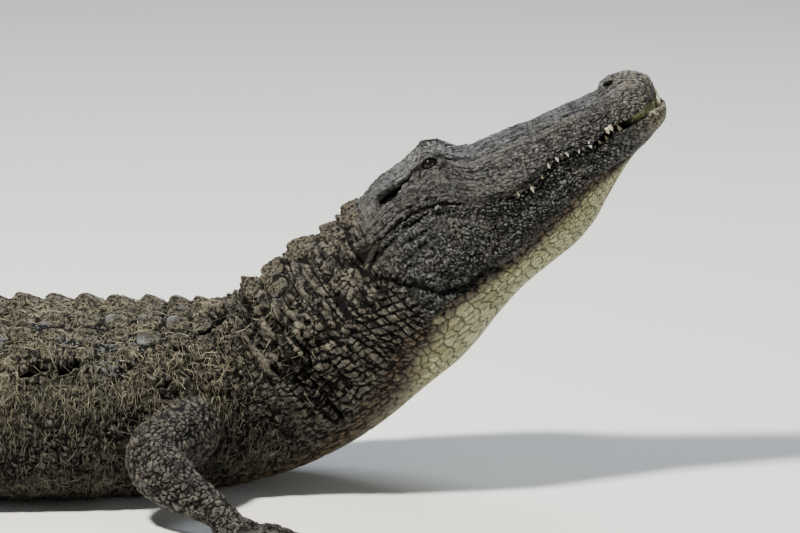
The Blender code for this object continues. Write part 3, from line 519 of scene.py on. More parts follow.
# Grooves along the crease behind the corner of the mouth: height over it, depth and half width
CORNER_ROLLS = [
    (0.0, 0.0070, 0.0030), (0.0105, 0.0050, 0.0020), (-0.0120, 0.0044, 0.0022), (0.022, 0.0030, 0.0020),
]
CHEEK_CREASE = [(0.356, 0.137), (0.366, 0.124), (0.380, 0.1125), (0.400, 0.107), (0.408, 0.105)]
JOWL_EDGE = [
    (0.300, 0.226), (0.343, 0.266), (0.391, 0.274), (0.435, 0.259), (0.476, 0.214), (0.516, 0.171),
    (0.527, 0.143),
]
JOWL_LINES = [
    [(0.385, 0.139), (0.425, 0.1395), (0.476, 0.1415)],
    [(0.378, 0.158), (0.434, 0.1666), (0.472, 0.172)],
    [(0.395, 0.178), (0.430, 0.186), (0.468, 0.192)],
]
JAW_HOLLOW = [(0.5275, 0.1318), (0.508, 0.1425), (0.4888, 0.1491)]
JOWL_MIDDLE = (0.432, 0.200)
# Hollows of the trunk, painted near black as shade: each as its depth, half width and places along it
TRUNK_HOLLOWS = [
    (0.0160, 0.0110, [(0.8063, 0.0898), (0.7800, 0.0754), (0.7560, 0.0560)]),
    (0.0160, 0.0062, [(1.0337, 0.2010), (1.0063, 0.1860)]),
    (0.0160, 0.0062, [(1.0913, 0.2123), (1.0575, 0.1970)]),
    (0.0100, 0.0046, [(0.8560, 0.0440), (0.8420, 0.0500)]),
    (0.0120, 0.0052, [(0.8620, 0.1420), (0.8500, 0.1410)]),
    (0.0080, 0.0050, [(0.9380, 0.1900), (0.9290, 0.1870)]),
    (0.0080, 0.0050, [(0.8850, 0.2090), (0.8730, 0.2060)]),
]
TRUNK_HOLLOWS += [
    (0.0100, 0.0046, [(s + 0.014, 0.211), (s - 0.012, 0.198)]) for s in (1.155, 1.232, 1.330, 1.405, 1.500)
]
# Patches without algae, each so far across along and over the hide: distances from the snout and the midline
BARE_SIZE = (0.018, 0.015)
BARE_PLACES = [
    (1.0263, 0.1405), (0.9663, 0.1467), (0.9213, 0.1357), (0.9700, 0.0637), (0.8675, 0.0621), (1.070, 0.095),
    (0.9625, 0.1885), (1.130, 0.141), (1.190, 0.050), (1.275, 0.150), (1.370, 0.070), (1.470, 0.120),
]
NOSTRIL_SLIT = [(0.0655, 0.0145), (0.0765, 0.0135)]
# Small pits on the front of the snout, painted dark as shade: distance from the snout, distance from the
# midline, size
TIP_PITS = [
    (0.0145, 0.036, 0.0019), (0.022, 0.030, 0.0012), (0.028, 0.047, 0.0012), (0.034, 0.036, 0.0010),
    (0.018, 0.052, 0.0012), (0.040, 0.056, 0.0013), (0.047, 0.044, 0.0010), (0.056, 0.066, 0.0014),
]
# Folds across the nape, each as its depth and places along it
NAPE_FOLDS = [
    (0.0115, [
        (0.7175, 0.0), (0.6975, 0.0918), (0.6760, 0.1521), (0.6800, 0.1963), (0.6837, 0.2506), (0.688, 0.32),
    ]),
    (0.0085, [
        (0.6950, 0.016), (0.6813, 0.1171), (0.664, 0.1584), (0.666, 0.1912), (0.669, 0.2377), (0.676, 0.30),
    ]),
    (0.0070, [
        (0.7350, 0.030), (0.7135, 0.1095), (0.700, 0.1600), (0.699, 0.2164), (0.698, 0.2687), (0.700, 0.32),
    ]),
    (0.0050, [(0.6560, 0.120), (0.6500, 0.1600), (0.6530, 0.2000), (0.6600, 0.2500)]),
    (0.0055, [(0.7310, 0.090), (0.7170, 0.1600), (0.7140, 0.2200), (0.7130, 0.2900)]),
    (0.0035, [(0.6420, 0.170), (0.6400, 0.2200), (0.6480, 0.2700)]),
    (0.0035, [(0.7480, 0.100), (0.7330, 0.1700), (0.7300, 0.2400)]),
    (0.0030, [(0.6250, 0.110), (0.6350, 0.1300), (0.6400, 0.1600)]),
]
# How far from the midline of the belly the pale hide reaches, by distance from the snout
PALE_REACH = [
    (0.0, 0.0), (0.03, 0.012), (0.07, 0.034), (0.1025, 0.054), (0.12, 0.066), (0.14, 0.077), (0.16, 0.088),
    (0.18, 0.0955), (0.225, 0.105), (0.288, 0.112), (0.34, 0.135), (0.39, 0.165), (0.43, 0.190),
    (0.47, 0.202), (0.52, 0.204), (0.56, 0.190), (0.60, 0.172), (0.65, 0.148), (0.70, 0.120), (0.78, 0.095),
    (0.90, 0.120), (1.40, 0.120), (1.80, 0.070), (2.20, 0.034), (2.60, 0.0), (3.44, 0.0),
]
pale_reach_at = smooth_curve(PALE_REACH)


def rings_to_hide(block):
    """Both sides of a block of rings as columns of closed rings, with what the relief needs at each point:
    s from the snout, y from the midline of the back, b from that of the belly, h over the axis, place p."""
    sides = {}
    for side in (1, -1):
        ring = dict(block, across=block["across"] * side, out_a=block["out_a"] * side)
        points, height, tent = open_mouth(ring)
        flat = {"s": block["s"], "y": block["girth"] * side, "b": block["below"] * side}
        sides[side] = dict(flat, h=height, tent=tent, p=points)
    return {key: np.concatenate([sides[1][key], sides[-1][key][:, -2:0:-1]], axis=1) for key in sides[1]}


def strip_faces(first, second, size):
    """Quads between two rings that start at these point numbers."""
    j = np.arange(size)
    k = (j + 1) % size
    return np.stack([first + j, first + k, second + k, second + j], axis=1)


def coarse_strip(first, second, size):
    """Triangles between a ring and the next one, which has half as many points."""
    j = np.arange(size // 2)
    a, b, c = 2 * j, 2 * j + 1, (2 * j + 2) % size
    low, high = second + j, second + (j + 1) % (size // 2)
    fans = [np.stack([first + a, first + b, low], 1), np.stack([first + b, first + c, high], 1)]
    return np.concatenate(fans + [np.stack([first + b, high, low], 1)])


def hide_grid():
    """The whole hide before its relief: fields at each point, four-sided faces and three-sided faces."""
    blocks = [rings_to_hide(build_rings(*fine_stations()))]
    for start, end, spacing, coarser in COARSE_BLOCKS:
        count = round((end - start) / spacing)
        s = start + (end - start) * np.arange(1, count + 1) / count
        blocks.append(rings_to_hide(build_rings(s, np.ones(count), coarser)))
    quads, triangles, offset, last = [], [], 0, None
    for block in blocks:
        rings, size = block["s"].shape
        starts = offset + size * np.arange(rings)
        if last is not None:
            triangles.append(coarse_strip(last, offset, 2 * size))
        quads += [strip_faces(starts[i], starts[i + 1], size) for i in range(0 if offset else 1, rings - 1)]
        offset, last = offset + rings * size, starts[-1]
    fields = {}
    for key in blocks[0]:
        fields[key] = np.concatenate([block[key].reshape(-1, *block[key].shape[2:]) for block in blocks])
    size = blocks[0]["s"].shape[1]
    _, kept, same = np.unique(np.round(fields["p"][:size], 7), axis=0, return_index=True, return_inverse=True)
    weld = kept[same.reshape(-1)]
    tip = strip_faces(0, size, size)
    tip[:, :2] = weld[tip[:, :2]]
    flat = tip[:, 0] == tip[:, 1]
    triangles.append(tip[flat][:, [0, 2, 3]])
    quads.append(tip[~flat])
    end_size = blocks[-1]["s"].shape[1]
    ring = offset - end_size + np.arange(end_size)
    for key, values in fields.items():
        middle = values[ring].mean(axis=0, keepdims=True)
        fields[key] = np.concatenate([values, middle])
    triangles.append(np.stack([ring, np.roll(ring, -1), np.full(end_size, offset)], 1))
    quads, triangles = np.concatenate(quads), np.concatenate(triangles)
    used = np.zeros(offset + 1, bool)
    used[quads] = True
    used[triangles] = True
    number = np.cumsum(used) - 1
    fields = {key: values[used] for key, values in fields.items()}
    return fields, number[quads], number[triangles]


def point_normals(points, quads, triangles):
    total = np.zeros_like(points)
    for faces in (quads, triangles):
        corners = points[faces]
        a, b = (1, 3) if faces.shape[1] == 4 else (0, 1)
        normal = np.cross(corners[:, 2] - corners[:, 0], corners[:, b] - corners[:, a])
        for k in range(faces.shape[1]):
            for axis in range(3):
                total[:, axis] += np.bincount(faces[:, k], weights=normal[:, axis], minlength=len(points))
    return unit(total)


def folds_and_hollows(f):
    """Height of the large forms over the hide: snout, lips, cheek, jowl, ears, nape folds and shoulder.

    It adds to the fields how deep each point lies in a fold, a pit, the ear slit or any hole.
    """
    s, far = f["s"], np.abs(f["y"])
    over_lip = f["h"] - side_line(s)
    wave = layered_noise(f["p"], 0.035, 11)
    height = np.zeros_like(s)
    f["fold"], f["spots"] = np.zeros_like(s), np.zeros_like(s)

    def mark(kind, share):
        f[kind] = np.maximum(f[kind], share)

    def along_line(line, reach, shift=0.0):
        return bump(line_distance(s, far + shift, line)[0], 0.0, reach)

    front = 1 - smoothstep(0.30, 0.36, s)
    waves = sum(share * bump(s, place, reach) for place, reach, share in LIP_WAVES)
    height += 0.0030 * front * waves * bump(over_lip, 0.010, 0.014)
    height += 0.0016 * front * bump(over_lip, -0.010, 0.010)

    rim = line_distance(s, far, NOSTRIL_SLIT)[0]
    hollow = 0.0105 * smoothstep(0.004, 0.024, far) * (1 - smoothstep(0.036, 0.062, far))
    height -= hollow * bump(s, 0.070, 0.017)
    height += 0.0014 * bump(rim, 0.0078, 0.0024) - 0.0120 * (1 - smoothstep(0.0026, 0.0056, rim))
    for place, girth, size in TIP_PITS:
        spot = np.exp(-(((s - place) ** 2 + (far - girth) ** 2) / size**2))
        height -= 1.6 * size * spot
        mark("spots", spot)
    height -= 0.0030 * bump(s, 0.098, 0.012) * bump(far, 0.0, 0.035)
    height -= 0.0016 * bump(far, 0.0, 0.006) * smoothstep(0.03, 0.05, s) * (1 - smoothstep(0.08, 0.10, s))

    ridge, snout = 0.034 + 0.05 * s, smoothstep(0.10, 0.15, s)
    height += 0.0020 * bump(far, ridge, 0.009) * snout * (1 - smoothstep(0.28, 0.31, s))
    height -= 0.0016 * bump(far, ridge + 0.022, 0.013) * snout * (1 - smoothstep(0.28, 0.33, s))

    ear, along = line_distance(s, far, EAR_LINE)
    half = 0.0016 + 0.0056 * smoothstep(0.25, 0.90, along)
    f["slit"] = (1 - smoothstep(0.6, 1.3, ear / half)) * smoothstep(0.10, 0.50, along)
    height -= (0.004 + 0.010 * smoothstep(0.1, 0.8, along)) * (1 - smoothstep(0.6, 1.5, ear / half))
    height += 0.0022 * bump(ear - half, 0.004, 0.003) * (1 - smoothstep(0.070, 0.085, far))

    height += 0.0030 * along_line(BROW_LINE, 0.0042, 0.003)
    groove = along_line(BROW_LINE, 0.0030, -0.005) * (1 - smoothstep(0.338, 0.348, s))
    height -= 0.0042 * groove
    mark("fold", groove)
    height -= 0.0040 * along_line(CHEEK_CREASE, 0.0024)
    roll = smoothstep(0.335, 0.375, s) * (1 - smoothstep(0.49, 0.53, s))
    for level, depth, reach in CORNER_ROLLS:
        groove = roll * bump(over_lip + 0.002 * wave, level, reach)
        height -= depth * groove
        mark("fold", 120 * depth * groove)
    height += roll * 0.0035 * bump(over_lip, 0.0055, 0.0035)
    for line in JOWL_LINES:
        away, along = line_distance(s, far + 0.003 * wave, line)
        groove = np.sin(np.pi * np.clip(along, 0.04, 1)) * bump(away, 0.0, 0.0024)
        height += 0.0016 * bump(away, 0.0055, 0.0030) * (s > 0.34) - 0.0048 * groove
        mark("fold", 0.7 * groove)
    edge, along = line_distance(s, far + 0.004 * wave, JOWL_EDGE)
    groove = smoothstep(0.0, 0.3, along) * bump(edge, 0.0, 0.0062) * (s > 0.28)
    height -= 0.0095 * groove
    mark("fold", 0.7 * groove)
    spread = np.hypot((s - JOWL_MIDDLE[0]) / 0.050, (far - JOWL_MIDDLE[1]) / 0.055)
    height += 0.0060 * np.exp(-(spread**2))
    hollow = along_line(JAW_HOLLOW, 0.0085)
    height -= 0.0130 * hollow
    mark("fold", hollow)

    border = np.abs(f["b"]) - pale_reach_at(s)
    jaw = smoothstep(0.04, 0.10, s) * (1 - smoothstep(0.33, 0.40, s))
    height += jaw * (0.0035 * bump(border, 0.020, 0.016) - 0.0030 * bump(border, -0.002, 0.006))
    height -= 0.0040 * jaw * bump(over_lip, -0.022, 0.010)

    for depth, line in NAPE_FOLDS:
        away, along = line_distance(s + 0.0030 * wave, far, line)
        groove = bump(away, 0.0, 0.0022 + 0.20 * depth) * smoothstep(0.0, 0.06, along)
        height += depth * (0.40 * bump(away, 0.0082, 0.0048) - 1.15 * groove)
        mark("fold", groove * np.clip(depth / 0.007, 0, 1))

    trunk = smoothstep(0.76, 0.86, s) * (1 - smoothstep(1.6, 1.8, s))
    height += 0.0040 * trunk * layered_noise(f["p"], 0.05, 12) * smoothstep(0.12, 0.20, far)
    for depth, half_width, line in TRUNK_HOLLOWS:
        away = line_distance(s, far + 0.003 * wave, line)[0]
        height += depth * (0.30 * bump(away, 2.2 * half_width, half_width) - bump(away, 0.0, half_width))
        mark("spots", 1 - smoothstep(0.3, 1.25, away / half_width))
    # The hole mask marks the nostril, ear slits, snout pits and trunk hollows, which the hide's material
    # paints near black as shade.
    f["hole"] = np.maximum.reduce([1 - smoothstep(0.0038, 0.0058, rim), f["slit"], f["spots"]])
    return height * (1 - f["tent"])


# Masks of hide_masks that the hide's material reads
MATERIAL_MASKS = ("snout_top", "face", "band", "jowl", "under", "neck", "trunk", "tail")


def hide_masks(f):
    """Where each kind of hide is, from 0 to 1."""
    s, far, below = f["s"], np.abs(f["y"]), np.abs(f["b"])
    over_lip = f["h"] - side_line(s)
    drift = layered_noise(f["p"], 0.030, 21)
    head = 1 - smoothstep(0.455, 0.520, s + 0.01 * drift)
    border = below - pale_reach_at(s) + 0.010 * drift
    under = 1 - smoothstep(-0.005, 0.007, border)
    upper = smoothstep(-0.002, 0.003, over_lip)
    masks = {"under": under, "border": border, "over_lip": over_lip, "drift": drift}
    masks["snout_top"] = head * upper * (1 - smoothstep(0.034 + 0.04 * s, 0.058 + 0.06 * s, far))
    masks["face"] = head * upper * (1 - masks["snout_top"])
    masks["lip"] = bump(np.abs(over_lip) - 0.0075, 0.0, 0.0065) * (1 - smoothstep(0.30, 0.35, s))
    masks["band"] = bump(over_lip, 0.008, 0.008) * smoothstep(0.19, 0.25, s) * (1 - smoothstep(0.33, 0.38, s))
    masks["jowl"] = head * (1 - upper) * (1 - under)
    masks["neck"] = (1 - head) * (1 - smoothstep(0.70, 0.76, s)) * (1 - under)
    masks["trunk"] = smoothstep(0.70, 0.76, s) * (1 - under) * (1 - smoothstep(1.66, 1.86, s))
    masks["tail"] = smoothstep(1.66, 1.86, s)
    return masks


def rounded(edge):
    """Height of a rounded cell from 0 to 1, by the distance to its edge."""
    return 1 - (1 - np.clip(edge / 0.42, 0, 1)) ** 2


def domes(place, seed, jitter=0.9, crack=0.16):
    """Rounded cells: height from 0 in the cracks to 1, depth in a crack, and the number of the cell."""
    edge, _, number = cells(np.stack(place, -1), seed, jitter)
    return rounded(edge), 1 - smoothstep(0.0, crack, edge), number


def stretched_place(s, sizes):
    """Distance from the snout counted in cells whose length changes along the way."""
    steps = np.linspace(0, TOTAL_LENGTH, 1200)
    size = smooth_curve(sizes)(steps)
    return np.interp(s, steps, np.concatenate([[0], np.cumsum(np.diff(steps) / size[1:])]))


# Sizes of scales by distance from the snout: lengths and widths on throat and belly, lengths on the flank
THROAT_LENGTHS = [
    (0, 0.010), (0.20, 0.013), (0.34, 0.016), (0.45, 0.022), (0.62, 0.024), (0.8, 0.026), (1.6, 0.030),
    (3.44, 0.024),
]
THROAT_WIDTHS = [
    (0, 0.0065), (0.20, 0.0075), (0.34, 0.010), (0.45, 0.016), (0.62, 0.018), (0.8, 0.022), (1.6, 0.026),
    (3.44, 0.012),
]
FLANK_LENGTHS = [(0, 0.013), (0.8, 0.014), (1.6, 0.018), (2.2, 0.046), (2.6, 0.047), (3.44, 0.033)]


def scales_and_wrinkles(f, m):
    """Height of the fine relief over the hide, with the crack, cell and pit masks that colour it, the crack
    and pit masks as painted shade.
    """
    s, y, b, p = f["s"], f["y"], f["b"], f["p"]
    far = np.abs(y)
    warp_s, warp_y = 0.004 * layered_noise(p, 0.020, 31), 0.004 * layered_noise(p, 0.020, 32)
    warped_s, warped_y = s + warp_s, y + warp_y
    height, crack, cell = np.zeros_like(s), np.zeros_like(s), np.full_like(s, 0.5)
    chart = np.stack([s, y, np.zeros_like(s)], axis=1)

    def add(weight, rise, deep, number, size, depth):
        """Cells of this height over the hide, with cracks of this depth between them."""
        nonlocal height, crack, cell
        height += weight * (size * (rise - 0.5) - depth * deep)
        crack = np.maximum(crack, weight * deep)
        cell = cell * (1 - weight) + number * weight

    def scales(weight, place, seed, size, depth, low=1.0, uneven=0.0, jitter=0.9):
        """Domed scales, each low plus up to uneven times as high as size."""
        rise, deep, number = domes(place, seed, jitter)
        add(weight, rise * (low + uneven * number), deep, number, size, depth)

    def strands(layer, length, width, seed):
        """Long wrinkles on the flat hide: 0 in their creases, up to 1 between them."""
        return np.abs(soft_noise(chart + [0, 0, layer], (length, width, 1), seed))

    def wrinkle(noise, weight, size, middle, fade=1.0):
        nonlocal height
        height += weight * size * (noise - middle) * fade

    def creases(noise, weight, reach=0.16):
        """Darkens the lowest part of wrinkles with painted shade."""
        nonlocal crack
        crack = np.maximum(crack, weight * (1 - smoothstep(0.0, reach, noise)))

    streaks = strands(1, 0.045, 0.0065, 41)
    streaks += 0.6 * strands(2, 0.022, 0.0036, 42)
    scales(m["snout_top"] * 0.8, (warped_s / 0.0105, warped_y / 0.0062), 43, 0.0012, 0.0007)
    wrinkle(streaks, m["snout_top"], 0.0030, 0.45)
    creases(streaks, 0.45 * m["snout_top"], 0.25)

    rough = 0.5 + 0.5 * smoothstep(-0.3, 0.5, -m["drift"]) + 0.5 * bump(s, 0.15, 0.12)
    place = (warped_s / 0.0085, warped_y / 0.0070)
    scales(m["face"] * 0.8 * rough, place, 44, 0.0017, 0.0008, 0.4, 1.2)
    folded = np.abs(layered_noise(p, (0.010, 0.014, 0.010), 59))
    wrinkle(folded, m["face"], 0.0044, 0.25, 0.45 + 0.55 * smoothstep(0.26, 0.36, s))
    _, pit_middle, pit_number = cells(np.stack([warped_s, warped_y], -1) / 0.0105, 45, 0.9)
    pits = (1 - smoothstep(0.10, 0.24, pit_middle)) * (pit_number > 0.40)
    pits = pits * (m["face"] + 0.4 * m["jowl"]) * (1 - smoothstep(0.28, 0.36, s))
    height -= 0.0016 * pits
    lines = strands(3, 0.030, 0.006, 46)
    wrinkle(lines, m["face"], 0.0022, 0.35, smoothstep(0.22, 0.40, s))
    creases(lines, 0.65 * m["face"])
    creases(folded, 0.65 * m["face"], 0.14)

    scales(m["lip"] * 0.9, (warped_s / 0.0125, m["over_lip"] / 0.0115 + 0.5), 47, 0.0026, 0.0014, jitter=0.5)

    rough = m["jowl"] * (0.35 + 0.65 * smoothstep(0.05, 0.17, s))
    scales(0.9 * rough, (warped_s / 0.0058, warped_y / 0.0054), 48, 0.0034, 0.0014, 0.3, 1.4)
    crumple = np.abs(layered_noise(p, (0.011, 0.011, 0.011), 49))
    wrinkle(crumple, rough, 0.0058, 0.25)
    lines, back = strands(4, 0.040, 0.0085, 50), smoothstep(0.33, 0.42, s)
    wrinkle(lines, m["jowl"], 0.0030, 0.35, back)
    creases(lines, 0.7 * m["jowl"] * back, 0.14)
    creases(crumple, 0.85 * m["jowl"], 0.13)

    lengths, widths = stretched_place(s, THROAT_LENGTHS), smooth_curve(THROAT_WIDTHS)(s)
    rise, deep, number = domes((lengths + warp_s * 60, (b + warp_y * 0.8) / widths), 51, 0.75, 0.13)
    flat = np.clip(rise * 1.8, 0, 1)
    add(m["under"], flat, deep, number, 0.0014 + 0.0010 * smoothstep(0.4, 0.5, s), 0.0011)

    nape = m["neck"] * (1 - smoothstep(0.20, 0.26, far))
    rise, deep, number = domes(((s + warp_s * 1.5) / 0.0200, (y + warp_y * 1.5) / 0.0200), 52, 0.85)
    knob = smoothstep(0.15, 0.9, rise) * smoothstep(0.35, 0.65, number)
    add(nape * 0.9 * (1 - f["fold"]), knob, deep * 0.6, number, 0.0056, 0.0008)
    bark = np.abs(layered_noise(p + 0.006 * m["drift"][:, None], (0.012, 0.016, 0.012), 60))
    wrinkle(bark, nape, 0.0050, 0.25)
    creases(bark, nape, 0.13)
    hoops = strands(5, 0.0085, 0.060, 53)
    creases(hoops, 0.95 * m["neck"] * (1 - 0.5 * smoothstep(0.18, 0.24, far)))
    hoops += 0.5 * strands(6, 0.0042, 0.030, 54)
    wrinkle(hoops, m["neck"] + 0.5 * m["trunk"] * bump(s, 0.74, 0.05), 0.0085, 0.5)
    crack = np.maximum(crack, 0.9 * f["fold"])
    side = m["neck"] * smoothstep(0.16, 0.22, far) + m["jowl"] * smoothstep(0.44, 0.50, s)
    side = np.clip(side + m["under"] * bump(m["border"], -0.01, 0.03) * smoothstep(0.46, 0.5, s), 0, 1)
    bend = 0.008 * layered_noise(p, 0.050, 57)
    turn_a, turn_b = s * 0.93 + far * 0.36 + bend, s * 0.34 + far * 0.94 - bend
    net_a = np.abs(np.sin(np.pi * (turn_a + 2.4 * warp_s) / 0.0150))
    net_b = np.abs(np.sin(np.pi * (turn_b + 2.4 * warp_y) / 0.0118))
    net = np.minimum(net_a, net_b)
    wrinkle(np.clip(net * 2.2, 0, 1), side, 0.0042, 0.5)
    crack = np.maximum(crack, side * (1 - smoothstep(0.16, 0.50, net)))

    rows = stretched_place(s, FLANK_LENGTHS)
    widths = 0.0120 + 0.0070 * smoothstep(1.6, 2.0, s)
    body = np.clip(m["trunk"] + m["tail"] * (1 - m["under"]), 0, 1)
    place = (rows + warp_s * 40, (y + 1.5 * warp_y) / widths)
    scales(body * 0.9, place, 55, 0.0034 - 0.0006 * m["tail"], 0.0010, 0.3, 1.1)
    mat = np.abs(layered_noise(p, (0.010, 0.010, 0.018), 58))
    hanging = strands(7, 0.0080, 0.0240, 61)
    for noise, size, middle in ((mat, 0.0060, 0.25), (hanging, 0.0040, 0.35)):
        wrinkle(noise, m["trunk"], size, middle)
        creases(noise, m["trunk"], 0.15)

    height += 0.0005 * layered_noise(p, 0.0055, 56) * (1 - 0.6 * m["under"])
    height *= 1 - f["tent"]
    masks = {"crack": np.clip(crack, 0, 1), "cell": cell, "pit": pits, "hole": f["hole"]}
    return height, masks


def lids(points, side):
    """The points round one eye drawn out to brow and lids and pushed in behind the opening, and its rim."""
    centre, axes = eye_centre(side), np.array(eye_axes(side))
    along, lift, out = ((points - centre) @ axes.T).T
    away = np.hypot(along / LID_ZONE[0], lift / LID_ZONE[1])
    near = (away < 1) & (out > -0.004)
    a, l, o = along[near], lift[near], out[near]
    reach, tall, proud = LID_SIZE
    dome = proud * (1 - 0.9 * (a / reach) ** 2 - 0.9 * (l / tall) ** 2)
    soft = 0.005
    blend = np.clip(0.5 + 0.5 * (dome - o) / soft, 0, 1)
    raised = o * (1 - blend) + dome * blend + soft * blend * (1 - blend) * 0.5
    tall_here = np.where(l > -0.001, 0.0082, 0.0070)
    oval = (a / 0.0128) ** 2 + ((l + 0.001) / tall_here) ** 2
    ball = np.sqrt(np.maximum(EYE_RADIUS**2 - a**2 - l**2, 0.0045**2))
    margin = smoothstep(1.0, 2.6, oval)
    lid = (ball + 0.0026) * (1 - margin) + raised * margin
    spread = np.sqrt(oval)
    lid += 0.0011 * bump(spread, 1.18, 0.12) + 0.0022 * bump(spread, 1.5, 0.45) * smoothstep(0.0, 0.006, l)
    folds = np.sin((spread - 1.3) * 2 * np.pi / 0.30) * smoothstep(1.6, 2.4, oval)
    lid += 0.0012 * (folds * (1 - smoothstep(5, 9, oval)))
    inside = 1 - smoothstep(0.86, 1.06, oval)
    final = lid * (1 - inside) + (ball - 0.0035) * inside
    fade = 1 - smoothstep(0.75, 1.0, away[near])
    moved = np.zeros(len(points))
    moved[near] = (final - o) * fade
    rim = np.zeros(len(points))
    rim[near] = np.exp(-np.clip(oval - 1, 0, None) * 0.9) * fade
    return points + moved[:, None] * axes[2], rim


def linked(name, data):
    """A new object of the scene that shows this data."""
    made = bpy.data.objects.new(name, data)
    bpy.context.scene.collection.objects.link(made)
    return made


def read(items, name, width=1, kind=float):
    """One property of all of a mesh's points, edges, corners, faces or values, in rows of this width."""
    values = np.zeros(len(items) * width, np.float32 if kind is float else np.int32)
    items.foreach_get(name, values)
    return values.astype(kind).reshape((-1, width) if width > 1 else -1)


def mesh_object(name, points, *face_groups):
    """A mesh object from arrays of points and of faces with three, four or more corners."""
    mesh = bpy.data.meshes.new(name)
    groups = [faces for faces in face_groups if len(faces)]
    corners = np.concatenate([faces.reshape(-1) for faces in groups]).astype(np.int32)
    sizes = np.concatenate([np.full(len(faces), faces.shape[1]) for faces in groups])
    starts = np.concatenate([[0], np.cumsum(sizes)[:-1]]).astype(np.int32)
    mesh.vertices.add(len(points))
    mesh.vertices.foreach_set("co", np.ascontiguousarray(points, np.float32).reshape(-1))
    mesh.loops.add(len(corners))
    mesh.loops.foreach_set("vertex_index", corners)
    mesh.polygons.add(len(sizes))
    mesh.polygons.foreach_set("loop_start", starts)
    mesh.update(calc_edges=True)
    mesh.validate()
    return linked(name, mesh)


def mask_of(mesh, name):
    return read(mesh.attributes[name].data, "value")


def volume_of(points, faces):
    """Six times the volume inside faces, negative where they face inwards."""
    first = points[faces[:, 0]]
    total = 0.0
    for k in range(1, faces.shape[1] - 1):
        total += np.sum(first * np.cross(points[faces[:, k]], points[faces[:, k + 1]]))
    return total


def set_masks(made, masks):
    for name, values in masks.items():
        attribute = made.data.attributes.new(name, "FLOAT", "POINT")
        attribute.data.foreach_set("value", np.ascontiguousarray(values, np.float32))


def plate_table():
    """Every plate of one side: distance from the snout, distance from the midline, length, width, height."""
    length, width, height = BACK_PLATE
    chance = np.random.default_rng(7)
    table = []
    for row in range(BACK_ROWS):
        s = BACK_FIRST_ROW + row * BACK_ROW_SPACING
        for column in range(4 if row in WIDE_ROWS else 3):
            size = 1 - COLUMN_SHRINK * column + 0.06 * chance.uniform(-1, 1)
            rise = (height - COLUMN_DROP * column) * (1 + 0.12 * chance.uniform(-1, 1))
            table.append((s, (column + 0.5) * BACK_COLUMN_SPACING, length * size, width * size, rise))
    return NAPE_PLATES + table


def bare_share(s, far):
    """How bare of algae each point of hide or plates is, from 0 to 1."""
    length, width = BARE_SIZE
    away = [((s - place) / length) ** 2 + ((far - girth) / width) ** 2 for place, girth in BARE_PLACES]
    return np.exp(-(np.min(away, axis=0) ** 2))


def under_plates(s, far):
    """How much of each point of the hide lies under a plate, and in the gaps round one, from 0 to 1."""
    covered, zone = np.zeros_like(s), np.zeros_like(s)
    near = np.flatnonzero((s > 0.47) & (s < 1.64) & (far < 0.21))
    for place, girth, length, width, _ in plate_table():
        a, b = (s[near] - place) / length, (far[near] - girth) / width
        away = (np.abs(a) ** 3 + np.abs(b) ** 3) ** (1 / 3)
        covered[near] = np.maximum(covered[near], 1 - smoothstep(0.40, 0.54, away))
        zone[near] = np.maximum(zone[near], 1 - smoothstep(0.54, 0.64, away))
    return covered, zone


def body_hide():
    """The hide of head, neck, trunk and tail with all its relief, its faces and its masks."""
    f, quads, triangles = hide_grid()
    if volume_of(f["p"], quads) < 0:
        quads, triangles = quads[:, ::-1], triangles[:, ::-1]
    normals = point_normals(f["p"], quads, triangles)
    f["p"] = f["p"] + normals * folds_and_hollows(f)[:, None]
    rims = np.zeros(len(f["s"]))
    for side in (-1, 1):
        f["p"], rim = lids(f["p"], side)
        rims = np.maximum(rims, rim)
    normals = point_normals(f["p"], quads, triangles)
    masks = hide_masks(f)
    height, fine = scales_and_wrinkles(f, masks)
    covered, zone = under_plates(f["s"], np.abs(f["y"]))
    # Painted shade: the gaps round the plates join the crack mask, which the hide's material darkens.
    fine["crack"] = np.maximum(fine["crack"], 0.75 * zone * (1 - covered))
    height = height * (1 - 0.85 * rims) * (1 - covered) - 0.001 * covered
    f["p"] = f["p"] + normals * height[:, None]
    f["p"][:, 2] = np.maximum(f["p"][:, 2], 0.0)
    kept = {key: masks[key] for key in MATERIAL_MASKS}
    kept.update(fine, inside=f["tent"], rim=rims, along=f["s"], around=f["y"], border=masks["border"])
    kept["leg"] = np.zeros(len(f["s"]))
    kept["bare"] = bare_share(f["s"], np.abs(f["y"]))
    return f["p"], quads, triangles, kept


# Legs on the right side: joints as (x, y, z), half width and half height. The last joint lies inside the foot
FRONT_LEG = [
    ((0.425, -0.060, 0.130), 0.052, 0.060),
    ((0.400, -0.175, 0.116), 0.050, 0.055),
    ((0.358, -0.262, 0.094), 0.043, 0.046),
    ((0.392, -0.318, 0.068), 0.037, 0.038),
    ((0.446, -0.350, 0.042), 0.027, 0.026),
    ((0.478, -0.370, 0.020), 0.024, 0.018),
]
HIND_LEG = [
    ((-0.370, -0.040, 0.120), 0.078, 0.080),
    ((-0.320, -0.165, 0.124), 0.076, 0.080),
    ((-0.250, -0.272, 0.114), 0.055, 0.060),
    ((-0.285, -0.338, 0.086), 0.043, 0.046),
    ((-0.345, -0.372, 0.054), 0.031, 0.034),
    ((-0.352, -0.396, 0.026), 0.028, 0.024),
]
